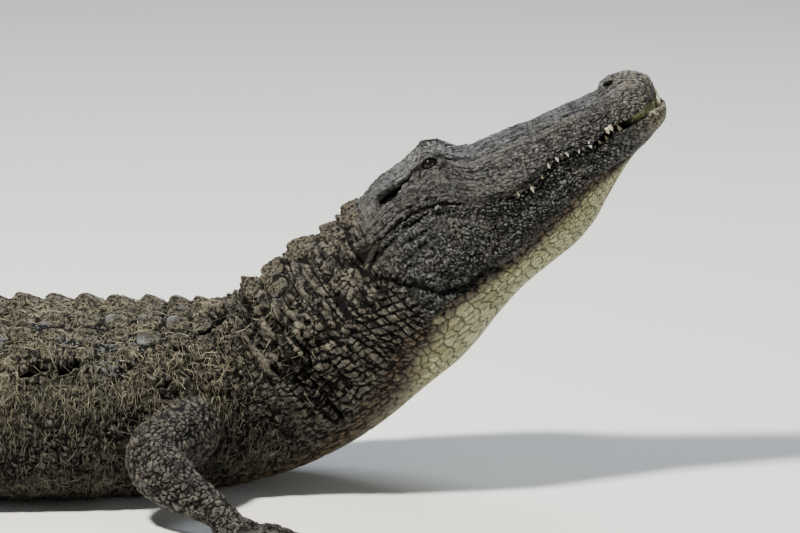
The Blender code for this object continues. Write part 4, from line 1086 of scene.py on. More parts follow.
# Feet: heading in degrees, the palm as (distance ahead of the last joint, half width, half height), the toes
# as (turn, length) from the inner one outwards, and how far the web reaches along them
FRONT_FOOT = {
    "heading": -30,
    "palm": [
        (-0.030, 0.015, 0.012), (-0.016, 0.025, 0.019), (0.008, 0.030, 0.019), (0.030, 0.036, 0.015),
        (0.046, 0.034, 0.010),
    ],
    "knuckles": 0.030,
    "toes": [(62, 0.046), (32, 0.064), (4, 0.070), (-24, 0.062), (-54, 0.046)],
    "toe_spread": 0.026,
    "toe_radius": 0.0115,
    "claw_length": 0.015,
    "web": 0.36,
}
HIND_FOOT = {
    "heading": -40,
    "palm": [
        (-0.050, 0.017, 0.017), (-0.030, 0.029, 0.026), (0.004, 0.033, 0.025), (0.044, 0.041, 0.018),
        (0.076, 0.042, 0.011),
    ],
    "knuckles": 0.060,
    "toes": [(36, 0.080), (12, 0.106), (-12, 0.108), (-38, 0.084)],
    "toe_spread": 0.034,
    "toe_radius": 0.0135,
    "claw_length": 0.018,
    "web": 0.66,
}
# Toes with a claw, counted from the inner one
CLAWED_TOES = 3
# How far the front and the hind leg of the left side lie ahead of those of the right side
LEFT_SHIFTS = (0.028, -0.030)
# Points round a leg, a palm and a toe
LEG_SIDES = 36
PALM_SIDES = 30
TOE_SIDES = 14
# Edge of the even faces that the legs are made of
LEG_VOXEL = 0.0024
UP = np.array([0.0, 0.0, 1.0])


def lofted(rings):
    """Points, side faces and two end faces of a closed form through rings of equal length."""
    rings = np.asarray(rings)
    count, size = rings.shape[:2]
    sides = np.concatenate([strip_faces(i * size, (i + 1) * size, size) for i in range(count - 1)])
    ends = np.array([np.arange(size)[::-1], (count - 1) * size + np.arange(size)])
    return rings.reshape(-1, 3), sides, ends


def gathered(shells):
    """Several shells, each points and lists of faces, as one: points, and faces by number of corners."""
    points, groups, offset = [], {}, 0
    for shell in shells:
        points.append(shell[0])
        for faces in shell[1:]:
            groups.setdefault(faces.shape[1], []).append(faces + offset)
        offset += len(shell[0])
    return np.concatenate(points), [np.concatenate(faces) for faces in groups.values()]


def flat_ring(centre, ahead, half_width, half_height, sides):
    """An ellipse square to ahead, with its width level."""
    across = unit(np.cross(ahead, UP))
    rise = np.cross(across, ahead)
    turns = np.linspace(0, 2 * math.pi, sides, endpoint=False)
    return [centre + across * half_width * math.cos(a) + rise * half_height * math.sin(a) for a in turns]


def level_direction(degrees):
    return np.array([math.cos(math.radians(degrees)), math.sin(math.radians(degrees)), 0.0])


def leg_lines(leg, side, shift):
    """Smooth curves for a leg's centre line and its two half sizes over the joints."""
    count = np.arange(len(leg))
    points = np.array([joint[0] for joint in leg]) * (1, -side, 1) + (shift, 0, 0)
    lines = [smooth_curve(list(zip(count, points[:, k]))) for k in range(3)]
    return lines, [smooth_curve(list(zip(count, [joint[k] for joint in leg]))) for k in (1, 2)]


def toe_rings(root, way, length, radius):
    """A toe with two knuckles that comes down to its tip."""
    share = np.linspace(-0.25, 1.0, 26)
    height = smooth_curve([(-0.25, 0.85), (0.35, 1.00), (0.78, 0.72), (1.0, 0.45)])(share)
    size = smooth_curve([(-0.25, 0.95), (0.35, 1.0), (0.78, 0.84), (1.0, 0.42)])(share)
    knuckles = 1 + 0.09 * bump(share, 0.30, 0.09) + 0.10 * bump(share, 0.66, 0.08)
    size = size * (knuckles - 0.06 * bump(share, 0.48, 0.07))
    centres = root + way * (share * length)[:, None] + UP * (height * radius - FLOOR_CUT * 0.6)[:, None]
    return [flat_ring(centre, way, wide, wide, TOE_SIDES) for centre, wide in zip(centres, size * radius)]


def leg_shells(leg, shape, side, shift):
    """Closed shells of one leg and foot, with the places, directions, lengths and radii of its claws."""
    lines, (half_at, rise_at) = leg_lines(leg, side, shift)
    last = len(leg) - 1
    rings = []
    for t in np.linspace(0, last, 12 * last + 1):
        point = np.array([line(t) for line in lines])
        ahead = unit(np.array([line(t + 0.12) - line(t - 0.12) for line in lines]))
        rings.append(flat_ring(point, ahead, half_at(t), rise_at(t), LEG_SIDES))
    shells, claws, tips = [lofted(rings)], [], []
    middle = np.array([line(last) for line in lines]) * (1, 1, 0)
    ahead = level_direction(-side * shape["heading"])
    across = np.array([-ahead[1], ahead[0], 0.0]) * -side
    palm = np.array(shape["palm"])
    reach = np.linspace(palm[0, 0], palm[-1, 0], 24)
    half, rise = (smooth_curve(list(zip(palm[:, 0], palm[:, k])))(reach) for k in (1, 2))
    rings = []
    for a, wide, tall in zip(reach, half, rise):
        rings.append(flat_ring(middle + ahead * a + UP * (tall - FLOOR_CUT), ahead, wide, tall, PALM_SIDES))
    shells.append(lofted(rings))
    radius = shape["toe_radius"]
    for number, (turn, length) in enumerate(shape["toes"]):
        way = level_direction(-side * (shape["heading"] + turn))
        aside = across * math.sin(math.radians(turn)) * shape["toe_spread"]
        root = middle + ahead * shape["knuckles"] + aside
        shells.append(lofted(toe_rings(root, way, length, radius)))
        tips.append(root + way * length * shape["web"])
        if number < CLAWED_TOES:
            start = root + way * length * 0.94 + UP * radius * 0.50
            claws.append((start, way, shape["claw_length"] + length * 0.03, radius * 0.46))
    outline = np.array([middle] + tips)
    shells.append(lofted([outline - UP * FLOOR_CUT, outline + UP * 0.004]))
    return shells, claws


def remeshed(name, points, groups, voxel, smooth):
    """The union of closed shells as one even mesh of quads: its points and faces."""
    made = mesh_object(name, points, *groups)
    remesh = made.modifiers.new("remesh", "REMESH")
    remesh.mode = "VOXEL"
    remesh.voxel_size = voxel
    soften = made.modifiers.new("soften", "SMOOTH")
    soften.iterations = smooth
    mesh = made.evaluated_get(bpy.context.evaluated_depsgraph_get()).to_mesh()
    places, corners = read(mesh.vertices, "co", 3), read(mesh.loops, "vertex_index", 1, int)
    bpy.data.objects.remove(made, do_unlink=True)
    return places, corners.reshape(-1, 4)


def leg_hide():
    """The hide of all four legs with its scales, its masks, and the claws' places."""
    shells, claws = [], []
    for side in (-1, 1):
        for leg, shape, shift in zip((FRONT_LEG, HIND_LEG), (FRONT_FOOT, HIND_FOOT), LEFT_SHIFTS):
            made, found = leg_shells(leg, shape, side, shift if side > 0 else 0.0)
            shells += made
            claws += found
    points, faces = remeshed("leg_form", *gathered(shells), LEG_VOXEL, 6)
    none = np.zeros((0, 3), np.int64)
    if volume_of(points, faces) < 0:
        faces = faces[:, ::-1]
    normals = point_normals(points, faces, none)
    muscle = layered_noise(points, 0.050, 71)
    points = points + normals * (0.0030 * muscle * smoothstep(0.02, 0.06, points[:, 2]))[:, None]
    warped = points + 0.004 * np.stack([soft_noise(points, 0.02, seed) for seed in (72, 73, 74)], -1)
    size = 0.0095 - 0.0035 * (1 - smoothstep(0.02, 0.06, points[:, 2]))
    edge, _, number = cells(warped / 0.0100, 75, 0.85)
    small_edge, _, small_number = cells(warped / 0.0062, 76, 0.85)
    foot = 1 - smoothstep(0.030, 0.050, points[:, 2])
    edge, number = edge * (1 - foot) + small_edge * foot, number * (1 - foot) + small_number * foot
    # The crack mask also paints shade into the cracks between the leg's scales.
    crack = 1 - smoothstep(0.0, 0.15, edge)
    height = size * (0.30 * (rounded(edge) - 0.5) * (0.5 + 0.7 * number)) - 0.0011 * crack
    height += 0.0006 * layered_noise(points, 0.008, 77)
    points = points + normals * height[:, None]
    points[:, 2] = np.maximum(points[:, 2], 0.0)
    return points, faces, {"leg": np.ones(len(points)), "crack": crack, "cell": number}, claws


def joined_hide():
    """One skin: the body's hide with the legs joined to it, the creases between them softened."""
    points, quads, triangles, masks = body_hide()
    body = mesh_object("hide", points, quads, triangles)
    set_masks(body, masks)
    leg_points, leg_faces, leg_masks, claws = leg_hide()
    legs = mesh_object("legs", leg_points, leg_faces)
    set_masks(legs, dict({name: np.zeros(len(leg_points)) for name in masks}, **leg_masks))
    join = body.modifiers.new("join", "BOOLEAN")
    join.operation = "UNION"
    join.solver = "MANIFOLD"
    join.object = legs
    bpy.context.view_layer.objects.active = body
    bpy.ops.object.modifier_apply(modifier=join.name)
    bpy.data.objects.remove(legs, do_unlink=True)
    soften_joints(body)
    return body, claws


def soften_joints(body):
    """Smooths the hide close to where legs and trunk meet."""
    mesh = body.data
    count = len(mesh.vertices)
    points, leg = read(mesh.vertices, "co", 3), mask_of(mesh, "leg")
    first, second = read(mesh.edges, "vertices", 2, int).T
    seam = np.abs(leg[first] - leg[second]) > 0.01
    share = np.zeros(count)
    share[first[seam]] = 1.0
    share[second[seam]] = 1.0
    links = np.bincount(first, minlength=count) + np.bincount(second, minlength=count)
    links = np.maximum(links, 1)

    def mean(values):
        total = np.bincount(first, weights=values[second], minlength=count)
        return (total + np.bincount(second, weights=values[first], minlength=count)) / links

    for _ in range(9):
        share = np.maximum(share, 0.93 * mean(share))
    share = np.clip(share * 1.6, 0, 1)
    for _ in range(14):
        for axis in range(3):
            points[:, axis] += share * 0.6 * (mean(points[:, axis]) - points[:, axis])
    mesh.vertices.foreach_set("co", points.astype(np.float32).reshape(-1))
    mesh.update()


def spun(centres, ahead, radii, sides, wide=1.0):
    """A closed pointed form: rings of these radii round a line of centres."""
    rings = []
    for i, centre in enumerate(centres):
        first = unit(np.cross(ahead[i], [0.13, 0.99, 0.05]))
        second = np.cross(ahead[i], first)
        turns = np.linspace(0, 2 * math.pi, sides, endpoint=False)
        rings.append([centre + radii[i] * (first * math.cos(a) * wide + second * math.sin(a)) for a in turns])
    return lofted(rings)


def spike(root, direction, length, radius, depth, bend, sides=12):
    """A curved pointed cone, sunk by depth at its root and bent towards a direction."""
    direction = unit(np.asarray(direction, float))
    share = np.concatenate([[-depth / length], 1 - (1 - np.linspace(0, 1, 11)) ** 1.35])
    shown = np.clip(share, 0, 1)
    size = np.maximum(np.sqrt(1 - shown) * (1 - 0.35 * shown), 0.03)
    centres = root + direction * (share * length)[:, None] + bend * (shown**2 * length)[:, None]
    ahead = unit(np.gradient(centres, axis=0))
    return spun(centres, ahead, radius * size, sides)


def tooth_shells(table, upward):
    """Slightly curved cones along both sides of a jaw, rooted in it near its edge."""
    shells = []
    theta = np.linspace(0.2, math.pi - 0.2, 400)
    for number, (s, length) in enumerate(table):
        forward, left, up = directions(np.array(s))
        across, height = section(s, theta)
        half = float(np.interp(-mouth_at(s), -height, across)) - (inset_at(s) + 0.007 if upward else 0.0044)
        level = mouth_at(s) + mouth_gap_at(s) / 2 * (-1 if upward else 1)
        front = upward and number == 0
        for side in (-1, 1):
            root = placed(s, side * (0.012 if front else half), level)
            lean = forward * 0.40 if front else left * side * (0.0 if upward else 0.12)
            way = (up if upward else -up) + lean
            radius = TOOTH_RADIUS * (0.8 + length * 28)
            shells.append(spike(root, way, length, radius, TOOTH_ROOT, forward * -0.10 - left * side * 0.05))
    return shells


def eye_shell(side):
    """An eyeball with a raised cornea, and how far each point turns from the gaze, level and upright."""
    along, lift, outward = eye_axes(side)
    polar = np.linspace(0, math.pi, 50)[1:-1]
    turns = np.linspace(0, 2 * math.pi, 72, endpoint=False)
    radius = EYEBALL_RADIUS + 0.0009 * (1 - smoothstep(0.0, 0.75, polar))
    wide, deep = np.sin(polar)[:, None], np.cos(polar)[:, None]
    local = np.stack([wide * np.cos(turns), wide * np.sin(turns), deep * np.ones_like(turns)], -1)
    rings = eye_centre(side) + (local * radius[:, None, None]) @ np.array([along, lift, outward])
    flat = local.reshape(-1, 3)
    masks = {"turn": np.arccos(np.clip(flat[:, 2], -1, 1)), "level": flat[:, 0], "upright": flat[:, 1]}
    return lofted(rings), masks


def girth_theta(s, girth):
    """The theta of points so far from the midline of the back along the hide at s."""
    theta = np.linspace(0, math.pi, 361)
    across, height = section(s, theta)
    run = np.concatenate([[0], np.cumsum(np.hypot(np.diff(across), np.diff(height)))])
    return np.sign(girth) * np.interp(np.abs(girth), run, theta)


# Points along each side of a plate, points round a tail crest, and the short step that slopes are taken over
PLATE_POINTS = 17
CREST_SIDES = 24
STEP = 1e-3


def plate_shell(s, girth, length, width, height, seed):
    """A bony plate that follows the hide: a rounded outline, a rim, pits, a keel that rises to the rear."""
    count, middle = PLATE_POINTS, PLATE_POINTS // 2
    grid = np.linspace(-1, 1, count)
    a, b = np.meshgrid(grid, grid, indexing="ij")
    round_a, round_b = a * np.sqrt(1 - 0.36 * b**2), b * np.sqrt(1 - 0.36 * a**2)
    place = np.stack([a.ravel(), b.ravel(), np.full(a.size, seed * 3.1)], -1)
    reach = 1.04 + 0.08 * layered_noise(place, 0.9, seed).reshape(a.shape)
    far = np.maximum(np.abs(a), np.abs(b))
    here_s = s + round_a * reach * length / 2
    taper = 1 - 0.10 * (1 - (round_a + 1) / 2)
    here_girth = girth + round_b * reach * taper * width / 2
    theta = girth_theta(s, here_girth)
    base = surface(here_s, theta)
    backwards = surface(here_s + STEP, theta) - surface(here_s - STEP, theta)
    sideways = surface(here_s, theta + STEP) - surface(here_s, theta - STEP)
    normal = unit(np.cross(backwards, sideways))
    normal *= np.sign(np.sum(normal * (base - axis_point(here_s)), -1, keepdims=True))
    rise = smoothstep(-1.0, 0.55, a) * (1 - 0.55 * smoothstep(0.62, 1.0, a))
    keel = bump(b, 0.0, 0.20) * (0.35 + 0.65 * rise) + 0.30 * bump(b, 0.0, 0.55) * rise
    lift = height * (0.14 + 0.14 * (1 - far**2) + 0.68 * keel * (1 - smoothstep(0.86, 1.0, far)))
    flat = np.stack([here_s.ravel(), theta.ravel() * 0.15, np.full(a.size, seed * 0.7)], -1)
    _, pit_middle, pit_number = cells(flat[:, :2] / 0.0062, 91 + seed % 7, 0.9)
    pits = ((1 - smoothstep(0.10, 0.36, pit_middle)) * (pit_number > 0.45)).reshape(a.shape)
    lift = lift - 0.0011 * pits * (1 - bump(b, 0.0, 0.14))
    lift = lift + 0.0026 * layered_noise(flat, 0.011, 92).reshape(a.shape)
    lift = np.where(far > 0.999, -0.004, lift)
    top = base + normal * lift[..., None]
    index = np.arange(count * count).reshape(count, count)
    faces = np.stack([index[:-1, :-1], index[:-1, 1:], index[1:, 1:], index[1:, :-1]], -1).reshape(-1, 4)
    border = np.concatenate([index[0, :-1], index[:-1, -1], index[-1, :0:-1], index[:0:-1, 0]])
    root = base[middle, middle] - normal[middle, middle] * 0.008
    points = np.concatenate([top.reshape(-1, 3), [root]])
    fan = np.stack([border, np.full(len(border), count * count), np.roll(border, -1)], 1)
    masks = {"keel": keel.ravel(), "bare": bare_share(here_s, np.abs(here_girth)).ravel()}
    masks = {name: np.concatenate([values, [0.0]]) for name, values in masks.items()}
    masks["cell"] = np.full(len(points), scatter(np.array([seed]), np.array([3]), np.array([5]), 93)[0])
    return (points, faces, fan), masks


def faced_out(shell):
    """The same shell with its faces turned outward."""
    total = sum(volume_of(shell[0] - shell[0].mean(0), faces) for faces in shell[1:])
    return shell if total > 0 else (shell[0],) + tuple(faces[:, ::-1] for faces in shell[1:])


def shells_object(name, shells, masks=None):
    """One object of many closed shells, with their masks joined in order."""
    points, groups = gathered([faced_out(shell) for shell in shells])
    made = mesh_object(name, points, *groups)
    if masks:
        set_masks(made, {key: np.concatenate([one[key] for one in masks]) for key in masks[0]})
    made.data.shade_smooth()
    return made


def back_plates():
    shells, masks = [], []
    for number, (s, girth, length, width, height) in enumerate(plate_table()):
        for side in (-1, 1):
            shell, mask = plate_shell(s, side * girth, length, width, height, 2 * number + (side > 0))
            shells.append(shell)
            masks.append(mask)
    return shells_object("back_plates", shells, masks)


def crest_shell(s, girth, length, height, lean, seed):
    """An upright keeled blade on the tail, swept back, thick at its root and thin along its edge."""
    theta = float(girth_theta(s, np.array(girth)))
    here = surface(np.array(s), np.array(theta))
    back = unit(surface(np.array(s + STEP), np.array(theta)) - surface(np.array(s - STEP), np.array(theta)))
    side = np.cross(UP, back)
    lifts = np.linspace(0, 1, 9)
    rings = []
    for lift in lifts:
        front, rear = -0.50 + 0.52 * lift**0.8, 0.50 + 0.06 * lift - 0.10 * lift**6
        middle, half = (front + rear) / 2, (rear - front) / 2 * (1 - 0.30 * lift**8)
        thick = 0.20 * (1 - 0.86 * lift**0.7) * (1 - 0.4 * lift**8)
        centre = here + back * middle * length + (UP + side * lean) * (height * lift)
        centre = centre - UP * 0.012 * (1 - lift) - UP * height * 0.10 * lift**3
        ring = []
        for a in np.linspace(0, 2 * math.pi, CREST_SIDES, endpoint=False):
            ridge = 1 + 0.06 * math.sin(5 * a + seed) * (1 - lift)
            slope = UP * 0.16 * height * lift * math.cos(a)
            out = side * math.copysign(abs(math.sin(a)) ** 1.2, math.sin(a)) * thick * length * ridge
            ring.append(centre + (back * math.cos(a) * half * length + out) + slope)
        rings.append(ring)
    shell = lofted(rings)
    tone = np.full(CREST_SIDES * len(lifts), (seed * 0.618) % 1.0)
    masks = {"lift": np.repeat(lifts, CREST_SIDES), "cell": tone}
    return shell, masks


def tail_crests():
    """Blades along the top of the tail: two rows, and one where they have met."""
    height_at, spacing_at = smooth_curve(CREST_HEIGHT), smooth_curve(CREST_SPACING)
    shells, masks, s = [], [], CREST_HEIGHT[0][0]
    while s < CREST_END:
        spacing = float(spacing_at(s))
        for side in (-1, 1) if s < CREST_MERGE else (0,):
            girth = side * (0.25 * float(FORM["half_width"](s)) * (CREST_MERGE - s) / 0.8 + 0.008)
            lean = 0.30 * side * (CREST_MERGE - s) / 0.8
            shell, mask = crest_shell(s, girth, spacing * 0.92, float(height_at(s)), lean, len(shells))
            shells.append(shell)
            masks.append(mask)
        s += spacing
    return shells_object("tail_crests", shells, masks)


def claw_object(claws):
    shells = []
    for start, way, length, radius in claws:
        shells.append(spike(start, way + UP * 0.05, length, radius, 0.008, UP * -0.26, 14))
    made = shells_object("claws", shells)
    for vertex in made.data.vertices:
        vertex.co.z = max(vertex.co.z, 0.0006)
    return made


# Camera: where it looks and how far it stands off. The photograph is 800 pixels wide
PHOTO_WIDTH_PX = 800
PIXELS_PER_METRE = 658
CAMERA_AIM = (0.724, 0.0, 0.3323)
CAMERA_DISTANCE = 10.0
CAMERA_ELEVATION = 12.0
SENSOR_MM = 36.0
# Studio lights: name, place, what each is aimed at, size, power and colour
LIGHTS = [
    ("key", (-1.5, -1.7, 4.8), (0.4, 0, 0.3), 0.6, 800, (1.0, 0.96, 0.88)),
    ("sky", (1.8, 2.4, 4.2), (0.5, 0, 0.3), 2.0, 160, (0.84, 0.91, 1.0)),
    ("fill", (4.2, -3.0, 1.2), (0.6, 0, 0.3), 2.0, 40, (1.0, 0.97, 0.92)),
]
SKY_COLOUR = (0.86, 0.90, 0.96, 1)
SKY_STRENGTH = 0.21
FLOOR_COLOUR = (0.72, 0.72, 0.70, 1)
FLOOR_ROUGHNESS = 0.9
FLOOR_HALF = 30.0


def camera():
    lens = bpy.data.cameras.new("camera")
    lens.sensor_width = SENSOR_MM
    lens.lens = SENSOR_MM * CAMERA_DISTANCE * PIXELS_PER_METRE / PHOTO_WIDTH_PX
    lens.clip_end = 100.0
    made = linked("camera", lens)
    rise = math.radians(CAMERA_ELEVATION)
    offset = Vector((0.0, -math.cos(rise), math.sin(rise))) * CAMERA_DISTANCE
    made.location = Vector(CAMERA_AIM) + offset
    made.rotation_euler = (-offset).to_track_quat("-Z", "Y").to_euler()
    bpy.context.scene.camera = made


def area_light(name, place, aim, size, power, colour):
    light = bpy.data.lights.new(name, "AREA")
    light.size = size
    light.energy = power
    light.color = colour
    made = linked(name, light)
    made.location = place
    made.rotation_euler = (Vector(aim) - Vector(place)).to_track_quat("-Z", "Y").to_euler()


def studio():
    world = bpy.data.worlds.new("studio")
    bpy.context.scene.world = world
    world.use_nodes = True
    background = world.node_tree.nodes["Background"]
    background.inputs["Color"].default_value = SKY_COLOUR
    background.inputs["Strength"].default_value = SKY_STRENGTH
    for light in LIGHTS:
        area_light(*light)
    corners = np.array([(-1, -1, 0), (1, -1, 0), (1, 1, 0), (-1, 1, 0)]) * FLOOR_HALF
    floor = mesh_object("floor", corners, np.array([[0, 1, 2, 3]]))
    material = bpy.data.materials.new("floor")
    material.use_nodes = True
    shader = material.node_tree.nodes["Principled BSDF"]
    shader.inputs["Base Color"].default_value = FLOOR_COLOUR
    shader.inputs["Roughness"].default_value = FLOOR_ROUGHNESS
    floor.data.materials.append(material)


# Threads of algae: how many, in how many pieces, with how many lengths each and points round them
ALGAE_SLOT = "algae"
THREAD_COUNT = 28500
THREAD_PIECES = 3
THREAD_STEPS = 3
THREAD_SIDES = 3
# Thickness of a thread from its root to its tip, as shares of its radius
THREAD_TAPER = (1.0, 1.05, 0.8, 0.2)
# How far below their roots threads keep clear of hollows
THREAD_DROPS = (0.0, 0.007, 0.014, 0.021)
# How dense they grow, by distance from the snout
THREAD_DENSITY = [
    (0.60, 0.0), (0.66, 0.06), (0.74, 0.12), (0.77, 0.8), (0.80, 1.0), (1.60, 1.0), (1.80, 0.45), (2.3, 0.20),
    (2.7, 0.0), (3.44, 0.0),
]
# Side of the patch of the map that each thread has
PATCH = 0.003


def thread_roots(hide, chance):
    """Points of the hide where threads grow: dense on the trunk, few on neck and tail, none in hollows."""
    mesh = hide.data
    count = len(mesh.vertices)
    places, normals = read(mesh.vertices, "co", 3), read(mesh.vertices, "normal", 3)
    corners = read(mesh.loops, "vertex_index", 1, int)
    sizes, areas = read(mesh.polygons, "loop_total", 1, int), read(mesh.polygons, "area")
    area = np.bincount(corners, weights=np.repeat(areas / sizes, sizes), minlength=count)
    along, around, border, leg = (mask_of(mesh, name) for name in ("along", "around", "border", "leg"))
    weight = area * smooth_curve(THREAD_DENSITY)(along) * smoothstep(0.0, 0.03, border)
    weight *= leg < 0.01
    weight *= 0.25 + 0.75 * smoothstep(-0.35, 0.35, layered_noise(places, 0.045, 101))
    weight *= 1 - 0.96 * bare_share(along, np.abs(around))
    covered, zone = under_plates(along, np.abs(around))
    weight *= 1 - 0.40 * covered - 0.55 * zone * (1 - covered)
    for _, half_width, line in TRUNK_HOLLOWS:
        for drop in THREAD_DROPS:
            away = line_distance(along, np.abs(around) + drop, line)[0]
            weight *= smoothstep(half_width, 2.0 * half_width, away)
    chosen = chance.choice(count, THREAD_COUNT, p=weight / weight.sum())
    return places[chosen], normals[chosen], along[chosen], around[chosen]


def outer_hit(trees, point, normal):
    """Where a line from outside meets the outermost of several surfaces."""
    best, start = None, Vector(point + normal * 0.03)
    for tree in trees:
        hit, facing, _, away = tree.ray_cast(start, Vector(-normal), 0.06)
        if hit is not None and (best is None or away < best[2]):
            best = (np.array(hit), np.array(facing), away)
    return best


def algae_threads(hide, plates):
    """Wavy threads that lie over hide and plates and hang downwards, in several pieces."""
    chance = np.random.default_rng(11)
    graph = bpy.context.evaluated_depsgraph_get()
    trees = [BVHTree.FromObject(one, graph) for one in (hide, plates)]
    points, normals, along, around = thread_roots(hide, chance)
    total = len(points)
    length = chance.uniform(0.009, 0.024, total) * (0.7 + 0.6 * chance.random(total))
    radius = chance.uniform(0.00034, 0.00070, total)
    drop = np.array([-0.10, 0.0, -1.0]) + 0.30 * chance.normal(size=(total, 3))
    path = np.zeros((total, THREAD_STEPS + 1, 3))
    out = np.zeros((total, THREAD_STEPS + 1, 3))
    sway = 0.45 * chance.normal(size=(total, THREAD_STEPS + 1, 3))
    loose = chance.random(total) ** 3 * 0.0035
    for i in range(total):
        point, normal, way = points[i], normals[i], drop[i]
        for k in range(THREAD_STEPS + 1):
            found = outer_hit(trees, point, normal)
            if found is not None:
                normal = unit(normal * 0.4 + found[1] * 0.6)
                point = found[0]
            lift = radius[i] * 0.5 + loose[i] * math.sin(math.pi * k / THREAD_STEPS)
            path[i, k], out[i, k] = point + normal * lift, normal
            way = unit(way * 0.8 + np.array([-0.05, 0.0, -0.35]) + sway[i, k])
            way = unit(way - normal * (way @ normal))
            point = point + way * (length[i] / THREAD_STEPS)
    path[..., 2] = np.maximum(path[..., 2], 0.002)
    ahead = unit(np.gradient(path, axis=1))
    side = unit(np.cross(ahead, out))
    lift = np.cross(side, ahead)
    taper = np.array(THREAD_TAPER)[None, :, None] * radius[:, None, None]
    turns = np.radians(90 + 360 / THREAD_SIDES * np.arange(THREAD_SIDES))
    rings = np.stack([path + taper * (side * math.cos(a) + lift * math.sin(a)) for a in turns], axis=2)
    tone = np.repeat(chance.random(total), (THREAD_STEPS + 1) * THREAD_SIDES).reshape(total, -1)
    pieces, share = [], total // THREAD_PIECES
    for number in range(THREAD_PIECES):
        part = slice(number * share, (number + 1) * share)
        pieces.append(thread_piece(f"algae_{number + 1}", rings[part], tone[part], along[part], around[part]))
    return pieces


def thread_piece(name, rings, tone, along, around):
    """One object of threads, each with a small patch of the map at its root's place on the flat hide."""
    count, steps, sides = rings.shape[:3]
    offset = (steps * sides) * np.arange(count)[:, None, None]
    strip = np.concatenate([strip_faces(k * sides, (k + 1) * sides, sides) for k in range(steps - 1)])
    quads = (offset + strip[None]).reshape(-1, 4)
    ends = np.array([[0, 1, 2], [2, 1, 0]]) + np.array([[0], [(steps - 1) * sides]])
    caps = (offset + ends[None]).reshape(-1, 3)
    points = rings.reshape(-1, 3)
    if volume_of(points - points.mean(0), quads) < 0:
        quads, caps = quads[:, ::-1], caps[:, ::-1]
    made = mesh_object(name, points, quads, caps)
    root = np.stack([along / TOTAL_LENGTH, 0.5 + around * 0.8], -1)
    step, side = np.meshgrid(np.linspace(0, PATCH, steps), np.linspace(0, PATCH, sides), indexing="ij")
    flat = (root[:, None] + np.stack([step.ravel(), side.ravel()], -1)[None]).reshape(-1, 2)
    layer = made.data.uv_layers.new(name="OFBake")
    flat = flat[read(made.data.loops, "vertex_index", 1, int)]
    layer.data.foreach_set("uv", flat.astype(np.float32).reshape(-1))
    set_masks(made, {"tone": tone.reshape(-1)})
    made.data.shade_smooth()
    return made


class Paint:
    """A material's nodes, made one by one. Each method returns the socket that holds its result."""

    def __init__(self, name):
        self.material = bpy.data.materials.new(name)
        self.material.use_nodes = True
        self.tree = self.material.node_tree
        self.shader = self.tree.nodes["Principled BSDF"]
        self.place = self.node("ShaderNodeTexCoord").outputs["Object"]

    def node(self, kind, inputs=(), **settings):
        made = self.tree.nodes.new(kind)
        for key, value in settings.items():
            setattr(made, key, value)
        for key, value in inputs:
            if isinstance(value, bpy.types.NodeSocket):
                self.tree.links.new(value, made.inputs[key])
            else:
                made.inputs[key].default_value = value
        return made

    def mask(self, name):
        return self.node("ShaderNodeAttribute", attribute_name=name).outputs["Fac"]

    def math(self, operation, first, second=0.0):
        return self.node("ShaderNodeMath", ((0, first), (1, second)), operation=operation).outputs[0]

    def times(self, *values):
        total = values[0]
        for value in values[1:]:
            total = self.math("MULTIPLY", total, value)
        return total

    def ramp(self, value, low, high, start=0.0, end=1.0):
        """Smooth steps from start to end as value goes from low to high."""
        inputs = (("Value", value), ("From Min", low), ("From Max", high), ("To Min", start), ("To Max", end))
        return self.node("ShaderNodeMapRange", inputs, interpolation_type="SMOOTHSTEP").outputs["Result"]

    def near(self, value, middle, reach):
        """1 where value is at middle, down to 0 at reach on either side."""
        away = self.math("ABSOLUTE", self.math("SUBTRACT", value, middle))
        return self.ramp(away, 0.0, reach, 1.0, 0.0)

    def chart(self, length, width, seed=0.0):
        """A place on the hide laid flat, counted in features of this length and width."""
        along = self.math("DIVIDE", self.mask("along"), length)
        around = self.math("DIVIDE", self.mask("around"), width)
        return self.node("ShaderNodeCombineXYZ", (("X", along), ("Y", around), ("Z", seed))).outputs[0]

    def noise(self, size, low=0.35, high=0.65, detail=4.0, vector=None, rough=0.6):
        inputs = [("Vector", vector or self.place), ("Scale", 1.0 if vector else 1.0 / size)]
        inputs += [("Detail", detail), ("Roughness", rough)]
        return self.ramp(self.node("ShaderNodeTexNoise", inputs).outputs[0], low, high)

    def cells(self, size):
        inputs = (("Vector", self.place), ("Scale", 1.0 / size))
        return self.node("ShaderNodeTexVoronoi", inputs).outputs["Distance"]

    def mix(self, share, first, second, blend="MIX"):
        colours = [(*c, 1.0) if isinstance(c, tuple) else c for c in (first, second)]
        inputs = ((0, share), (6, colours[0]), (7, colours[1]))
        return self.node("ShaderNodeMix", inputs, data_type="RGBA", blend_type=blend).outputs[2]

    def grey(self, value):
        return self.node("ShaderNodeCombineColor", ((0, value), (1, value), (2, value))).outputs[0]

    def level(self, low, high):
        """0 below and 1 above these heights over the floor."""
        return self.ramp(self.node("ShaderNodeSeparateXYZ", ((0, self.place),)).outputs["Z"], low, high)

    def darken(self, colour, share, depth):
        """Colour times 1 - depth where share is 1."""
        return self.mix(self.times(share, depth), colour, (0.0, 0.0, 0.0))

    def gloss(self, colour, most):
        """How much a surface shines: hardly where it is dark, as in cracks."""
        light = self.node("ShaderNodeRGBToBW", ((0, colour),)).outputs[0]
        return self.ramp(light, 0.001, 0.035, 0.22 * most, most)

    def bump(self, height, distance, strength=1.0, under=None):
        inputs = [("Height", height), ("Distance", distance), ("Strength", strength)]
        inputs += [("Normal", under)] if under else []
        return self.node("ShaderNodeBump", inputs).outputs[0]

    def finish(self, made, **sockets):
        for name, value in sockets.items():
            socket = self.shader.inputs[name.replace("_", " ")]
            if isinstance(value, bpy.types.NodeSocket):
                self.tree.links.new(value, socket)
            else:
                socket.default_value = (*value, 1.0) if isinstance(value, tuple) else value
        made.data.materials.clear()
        made.data.materials.append(self.material)


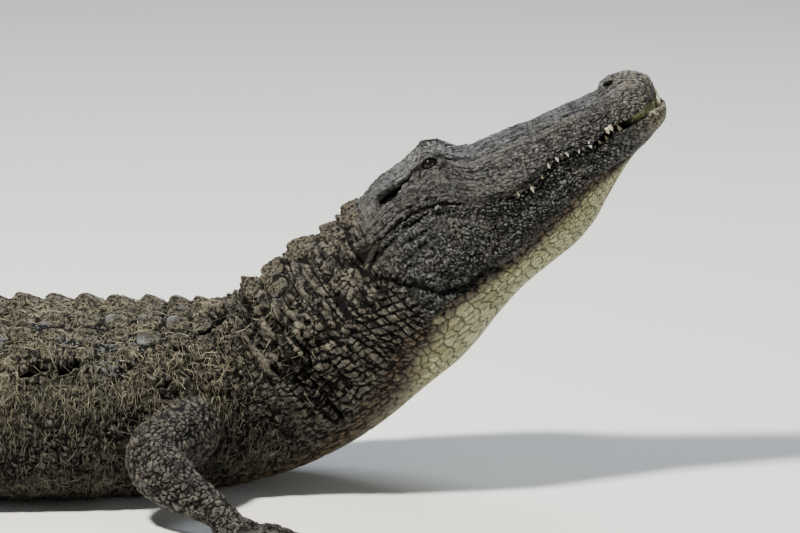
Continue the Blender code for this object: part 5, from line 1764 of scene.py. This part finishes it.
def hide_material(made):
    """Slate head, brown neck and trunk under algae, pale throat, with painted shade in every crack, pit and
    hole.
    """
    p = Paint("hide")
    broad, middle, fine = p.noise(0.060), p.noise(0.014), p.noise(0.0032, 0.30, 0.70, 6.0)
    speckle = p.noise(0.0050, 0.42, 0.60, 5.0)
    along, border = p.mask("along"), p.mask("border")
    cell, crack, pit = p.mask("cell"), p.mask("crack"), p.mask("pit")
    streak = p.noise(1.0, 0.42, 0.60, 3.0, p.chart(0.030, 0.0046))
    hoops = p.noise(1.0, 0.42, 0.60, 4.0, p.chart(0.0060, 0.045, 3.0))
    strokes = p.noise(1.0, 0.42, 0.60, 5.0, p.chart(0.0026, 0.0120, 7.0))
    leather = p.noise(1.0, 0.40, 0.62, 5.0, p.chart(0.0140, 0.0040, 9.0))

    # Painted light: the hide is painted lighter higher over the floor, as light from above falls on it.
    high = p.level(0.13, 0.25)
    colour = p.mix(strokes, (0.004, 0.003, 0.002), p.mix(high, (0.072, 0.064, 0.044), (0.170, 0.146, 0.094)))
    colour = p.mix(p.times(middle, 0.30), colour, p.mix(high, (0.040, 0.034, 0.021), (0.090, 0.076, 0.046)))
    neck = p.mix(hoops, (0.014, 0.012, 0.008), (0.150, 0.131, 0.092))
    neck = p.mix(p.times(middle, 0.30), neck, (0.080, 0.068, 0.048))
    jowl = p.mix(speckle, (0.018, 0.018, 0.016), (0.118, 0.120, 0.108))
    face = p.mix(leather, (0.026, 0.026, 0.025), (0.168, 0.169, 0.160))
    face = p.mix(p.times(speckle, 0.30), face, (0.070, 0.067, 0.058))
    face = p.mix(p.times(p.noise(0.045, 0.42, 0.62), leather, 0.50), face, (0.125, 0.098, 0.072))
    band = p.mix(speckle, (0.002, 0.002, 0.002), (0.040, 0.038, 0.030))
    face = p.mix(p.times(p.mask("band"), 0.8), face, band)
    face = p.darken(face, p.ramp(along, 0.26, 0.34), 0.24)
    # The snout top's slate with light bluish streaks: partly its own colour, partly a painted bluish sheen.
    top = p.mix(streak, (0.017, 0.018, 0.020), (0.128, 0.138, 0.150))
    top = p.mix(p.times(middle, 0.4), top, (0.050, 0.048, 0.042))
    # Painted reflection: the skull roof is painted lighter grey where the sky would shine on it.
    roof = p.near(along, 0.385, 0.085)
    top = p.mix(p.times(roof, leather, 0.8), top, (0.215, 0.218, 0.210))
    tail = p.mix(middle, (0.012, 0.010, 0.007), (0.074, 0.063, 0.043))
    leg = p.mix(middle, (0.012, 0.010, 0.008), (0.080, 0.070, 0.050))
    head = p.math("ADD", p.mask("jowl"), p.math("ADD", p.mask("face"), p.mask("snout_top")))
    kinds = (("neck", neck), ("jowl", jowl), ("face", face), ("snout_top", top), ("tail", tail), ("leg", leg))
    for name, kind in kinds:
        colour = p.mix(p.mask(name), colour, kind)
    colour = p.mix(1.0, colour, p.grey(p.ramp(cell, 0.0, 1.0, 0.66, 1.34)), "MULTIPLY")
    pale = p.mix(cell, (0.300, 0.285, 0.120), (0.540, 0.525, 0.290))
    pale = p.mix(p.times(broad, 0.45), pale, (0.270, 0.290, 0.130))
    pale = p.mix(p.times(p.noise(0.020, 0.52, 0.70), 0.5), pale, (0.210, 0.150, 0.070))
    rust = p.mix(p.noise(0.012, 0.40, 0.60), (0.012, 0.008, 0.004), (0.098, 0.060, 0.022))
    reach = p.ramp(along, 0.41, 0.64, 0.028, 0.170)
    stained = p.ramp(p.math("DIVIDE", border, reach), -1.0, -0.15)
    pale = p.mix(p.times(stained, p.noise(0.030, 0.18, 0.44)), pale, rust)
    slate = p.mix(p.noise(0.007, 0.35, 0.65, 5.0), (0.040, 0.045, 0.050), (0.160, 0.178, 0.196))
    colour = p.mix(p.times(p.mask("bare"), p.noise(0.010, 0.30, 0.50)), colour, slate)
    colour = p.mix(p.mask("under"), colour, pale)
    tip = p.times(p.ramp(along, 0.095, 0.030), p.noise(0.0060, 0.44, 0.58, 5.0))
    colour = p.mix(p.times(tip, 0.75, head), colour, (0.270, 0.235, 0.155))
    chin = p.times(p.ramp(along, 0.060, 0.020), p.mask("jowl"), p.noise(0.0085, 0.38, 0.56, 5.0))
    colour = p.mix(p.times(chin, 0.85), colour, (0.420, 0.370, 0.225))
    dust = p.times(p.noise(0.035, 0.50, 0.66, 5.0), fine)
    colour = p.mix(p.times(dust, 0.30), colour, (0.130, 0.098, 0.056))
    lid = p.mix(fine, (0.012, 0.012, 0.012), (0.150, 0.152, 0.148))
    colour = p.mix(p.times(p.mask("rim"), 0.55), colour, lid)
    colour = p.darken(colour, p.noise(0.0065, 0.50, 0.64, 6.0), 0.45)
    # Painted shade: cracks, folds, creases and the gaps round the plates are darkened towards black, a little
    # less on throat and head.
    soft = p.math("MAXIMUM", p.mask("under"), p.times(head, 0.40))
    deep = p.times(p.ramp(crack, 0.08, 0.62), p.ramp(soft, 0.0, 1.0, 0.95, 0.70))
    colour = p.darken(colour, deep, 1.0)
    # Painted shade: pits are darkened by 80 per cent, and the holes of nostrils, ear slits, snout pits and
    # trunk hollows nearly to black.
    colour = p.darken(colour, pit, 0.80)
    colour = p.darken(colour, p.ramp(p.mask("hole"), 0.2, 0.7), 0.97)
    # Painted shade: the mouth's lining is pale green at the front and near black further back, where the
    # mouth lies in shade.
    wet_green = p.mix(middle, (0.400, 0.430, 0.150), (0.580, 0.590, 0.330))
    lining = p.mix(p.ramp(along, 0.045, 0.075), wet_green, (0.020, 0.017, 0.012))
    colour = p.mix(p.ramp(p.mask("inside"), 0.05, 0.5), colour, lining)
    colour = p.darken(colour, p.ramp(fine, 0.65, 0.0), 0.55)

    dry = p.math("MAXIMUM", p.mask("trunk"), p.mask("neck"))
    rough = p.math("ADD", p.ramp(fine, 0.0, 1.0, 0.38, 0.58), p.times(dry, 0.20))
    rough = p.math("SUBTRACT", rough, p.times(p.mask("snout_top"), 0.08))
    relief = p.bump(p.cells(0.0048), 0.0020, 0.8)
    relief = p.bump(p.noise(0.0020, 0.25, 0.75, 3.0), 0.0009, 0.7, relief)
    relief = p.bump(p.times(strokes, p.mask("trunk")), 0.0022, 0.8, relief)
    relief = p.bump(p.times(leather, p.mask("face")), 0.0014, 0.7, relief)
    relief = p.bump(p.noise(0.009, 0.2, 0.8, 6.0), 0.0042, 0.9, relief)
    open_head = p.times(head, p.math("SUBTRACT", 1.0, p.mask("hole")), 0.24)
    shine = p.math("MAXIMUM", p.gloss(colour, 0.55), open_head)
    p.finish(made, Base_Color=colour, Roughness=rough, Normal=relief, Specular_IOR_Level=shine)


def plate_material(made, name, edge):
    """Bony plates: brown algae over dark horn, with a few keels blue-grey from wear and a painted highlight.
    """
    p = Paint(name)
    middle, fine = p.noise(0.010), p.noise(0.0028, 0.3, 0.7, 6.0)
    strokes = p.noise(0.0042, 0.40, 0.62, 6.0)
    horn = p.mix(middle, (0.012, 0.012, 0.011), (0.085, 0.086, 0.083))
    # Partly wear, partly painted highlight: the keels of plates and the upper parts of crests are painted
    # lighter blue-grey.
    wear_and_highlight = p.times(p.ramp(p.mask(edge), 0.25, 0.9), p.noise(0.012, 0.45, 0.65))
    slate = p.mix(fine, (0.060, 0.067, 0.074), (0.160, 0.175, 0.190))
    horn = p.mix(p.math("MAXIMUM", wear_and_highlight, p.mask("bare")), horn, slate)
    mud = p.mix(strokes, (0.006, 0.005, 0.003), (0.125, 0.106, 0.066))
    covered = p.math("MAXIMUM", p.ramp(p.mask("cell"), 0.92, 0.74), p.noise(0.014, 0.36, 0.52, 5.0))
    covered = p.math("MAXIMUM", p.math("SUBTRACT", covered, p.mask("bare")), 0.0)
    colour = p.mix(covered, horn, mud)
    colour = p.darken(colour, fine, 0.35)
    relief = p.bump(p.cells(0.0026), 0.0009, 0.7)
    relief = p.bump(p.times(strokes, covered), 0.0020, 0.8, relief)
    relief = p.bump(p.noise(0.006, 0.2, 0.8, 6.0), 0.0024, 0.8, relief)
    rough, shine = p.ramp(covered, 0.0, 1.0, 0.42, 0.75), p.gloss(colour, 0.50)
    p.finish(made, Base_Color=colour, Roughness=rough, Normal=relief, Specular_IOR_Level=shine)


def horn_material(made, name, dark, light, rough, size):
    """Teeth and claws: streaks along the grain with stained hollows."""
    p = Paint(name)
    colour = p.mix(p.noise(size, 0.35, 0.65, 5.0), light, dark)
    colour = p.darken(colour, p.noise(size / 5, 0.50, 0.72), 0.35)
    rough = p.ramp(p.noise(size / 2), 0.0, 1.0, rough, rough + 0.2)
    relief = p.bump(p.noise(size / 6, 0.2, 0.8), 0.0003, 0.5)
    p.finish(
        made, Base_Color=colour, Roughness=rough, Normal=relief,
        Coat_Weight=0.15, Subsurface_Weight=0.05,
    )


def eye_material(made):
    """A dark bronze iris with an upright slit pupil, under a wet cornea."""
    p = Paint(made.name)
    turn = p.mask("turn")
    level, upright = (p.math("ABSOLUTE", p.mask(name)) for name in ("level", "upright"))
    slit = p.math("ADD", level, p.times(upright, 0.16))
    fibres = p.noise(0.0011, 0.35, 0.65, 5.0)
    iris = p.mix(fibres, (0.0015, 0.0012, 0.001), (0.006, 0.0045, 0.003))
    # Painted highlight: a lighter ring round the edge of the iris.
    iris = p.mix(p.near(turn, 0.50, 0.05), iris, (0.020, 0.017, 0.012))
    colour = p.mix(p.ramp(slit, 0.075, 0.115), (0.003, 0.003, 0.004), iris)
    colour = p.mix(p.ramp(turn, 0.60, 0.72), colour, (0.004, 0.0035, 0.003))
    p.finish(
        made, Base_Color=colour, Roughness=0.35, Specular_IOR_Level=0.05,
        Coat_Weight=0.45, Coat_Roughness=0.03,
    )


def thread_material(name, pieces):
    """Threads of algae in many tones, from near black to straw."""
    p = Paint(name)
    tone = p.mask("tone")
    # Painted light: threads higher over the floor are painted lighter, as light from above falls on them.
    high = p.level(0.10, 0.25)
    brown = p.mix(high, (0.080, 0.069, 0.043), (0.190, 0.163, 0.100))
    straw = p.mix(high, (0.190, 0.172, 0.120), (0.400, 0.355, 0.240))
    colour = p.mix(p.ramp(tone, 0.10, 0.75), (0.008, 0.006, 0.004), brown)
    colour = p.mix(p.ramp(tone, 0.60, 1.00), colour, straw)
    colour = p.mix(p.times(p.noise(0.080), 0.4), colour, (0.080, 0.088, 0.052))
    colour = p.darken(colour, p.noise(0.006, 0.50, 0.70), 0.55)
    relief = p.bump(p.noise(0.0015, 0.3, 0.7), 0.0004, 0.6)
    rough, shine = p.ramp(p.noise(0.02), 0.0, 1.0, 0.42, 0.75), p.gloss(colour, 0.50)
    for made in pieces:
        p.finish(made, Base_Color=colour, Roughness=rough, Normal=relief, Specular_IOR_Level=shine)


def main():
    camera()
    studio()
    hide, claws = joined_hide()
    hide.data.shade_smooth()
    hide_material(hide)
    plates, crests = back_plates(), tail_crests()
    plate_material(plates, "plates", "keel")
    plate_material(crests, "crests", "lift")
    upper = shells_object("upper_teeth", tooth_shells(UPPER_TEETH, False))
    lower = shells_object("lower_teeth", tooth_shells(LOWER_TEETH, True))
    for teeth in (upper, lower):
        horn_material(teeth, teeth.name, (0.30, 0.24, 0.13), (0.66, 0.63, 0.52), 0.22, 0.012)
    nails = claw_object(claws)
    horn_material(nails, "claws", (0.020, 0.018, 0.015), (0.090, 0.078, 0.060), 0.30, 0.010)
    threads = algae_threads(hide, plates)
    thread_material("algae", threads)
    pieces = [(thread, ALGAE_SLOT) for thread in threads]
    pieces += [(hide, "hide"), (plates, "scute"), (crests, "scute")]
    pieces += [(upper, "tooth"), (lower, "tooth"), (nails, "claw")]
    for side, name in ((-1, "right"), (1, "left")):
        shell, masks = eye_shell(side)
        eye = shells_object(f"eyeball_{name}", [shell], [masks])
        eye_material(eye)
        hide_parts(f"eye_{name}")
        pieces.append((eye, "eye"))
    for piece, slot in pieces:
        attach(piece, "root")
    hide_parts(*[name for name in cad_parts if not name.startswith("eye")])


main()
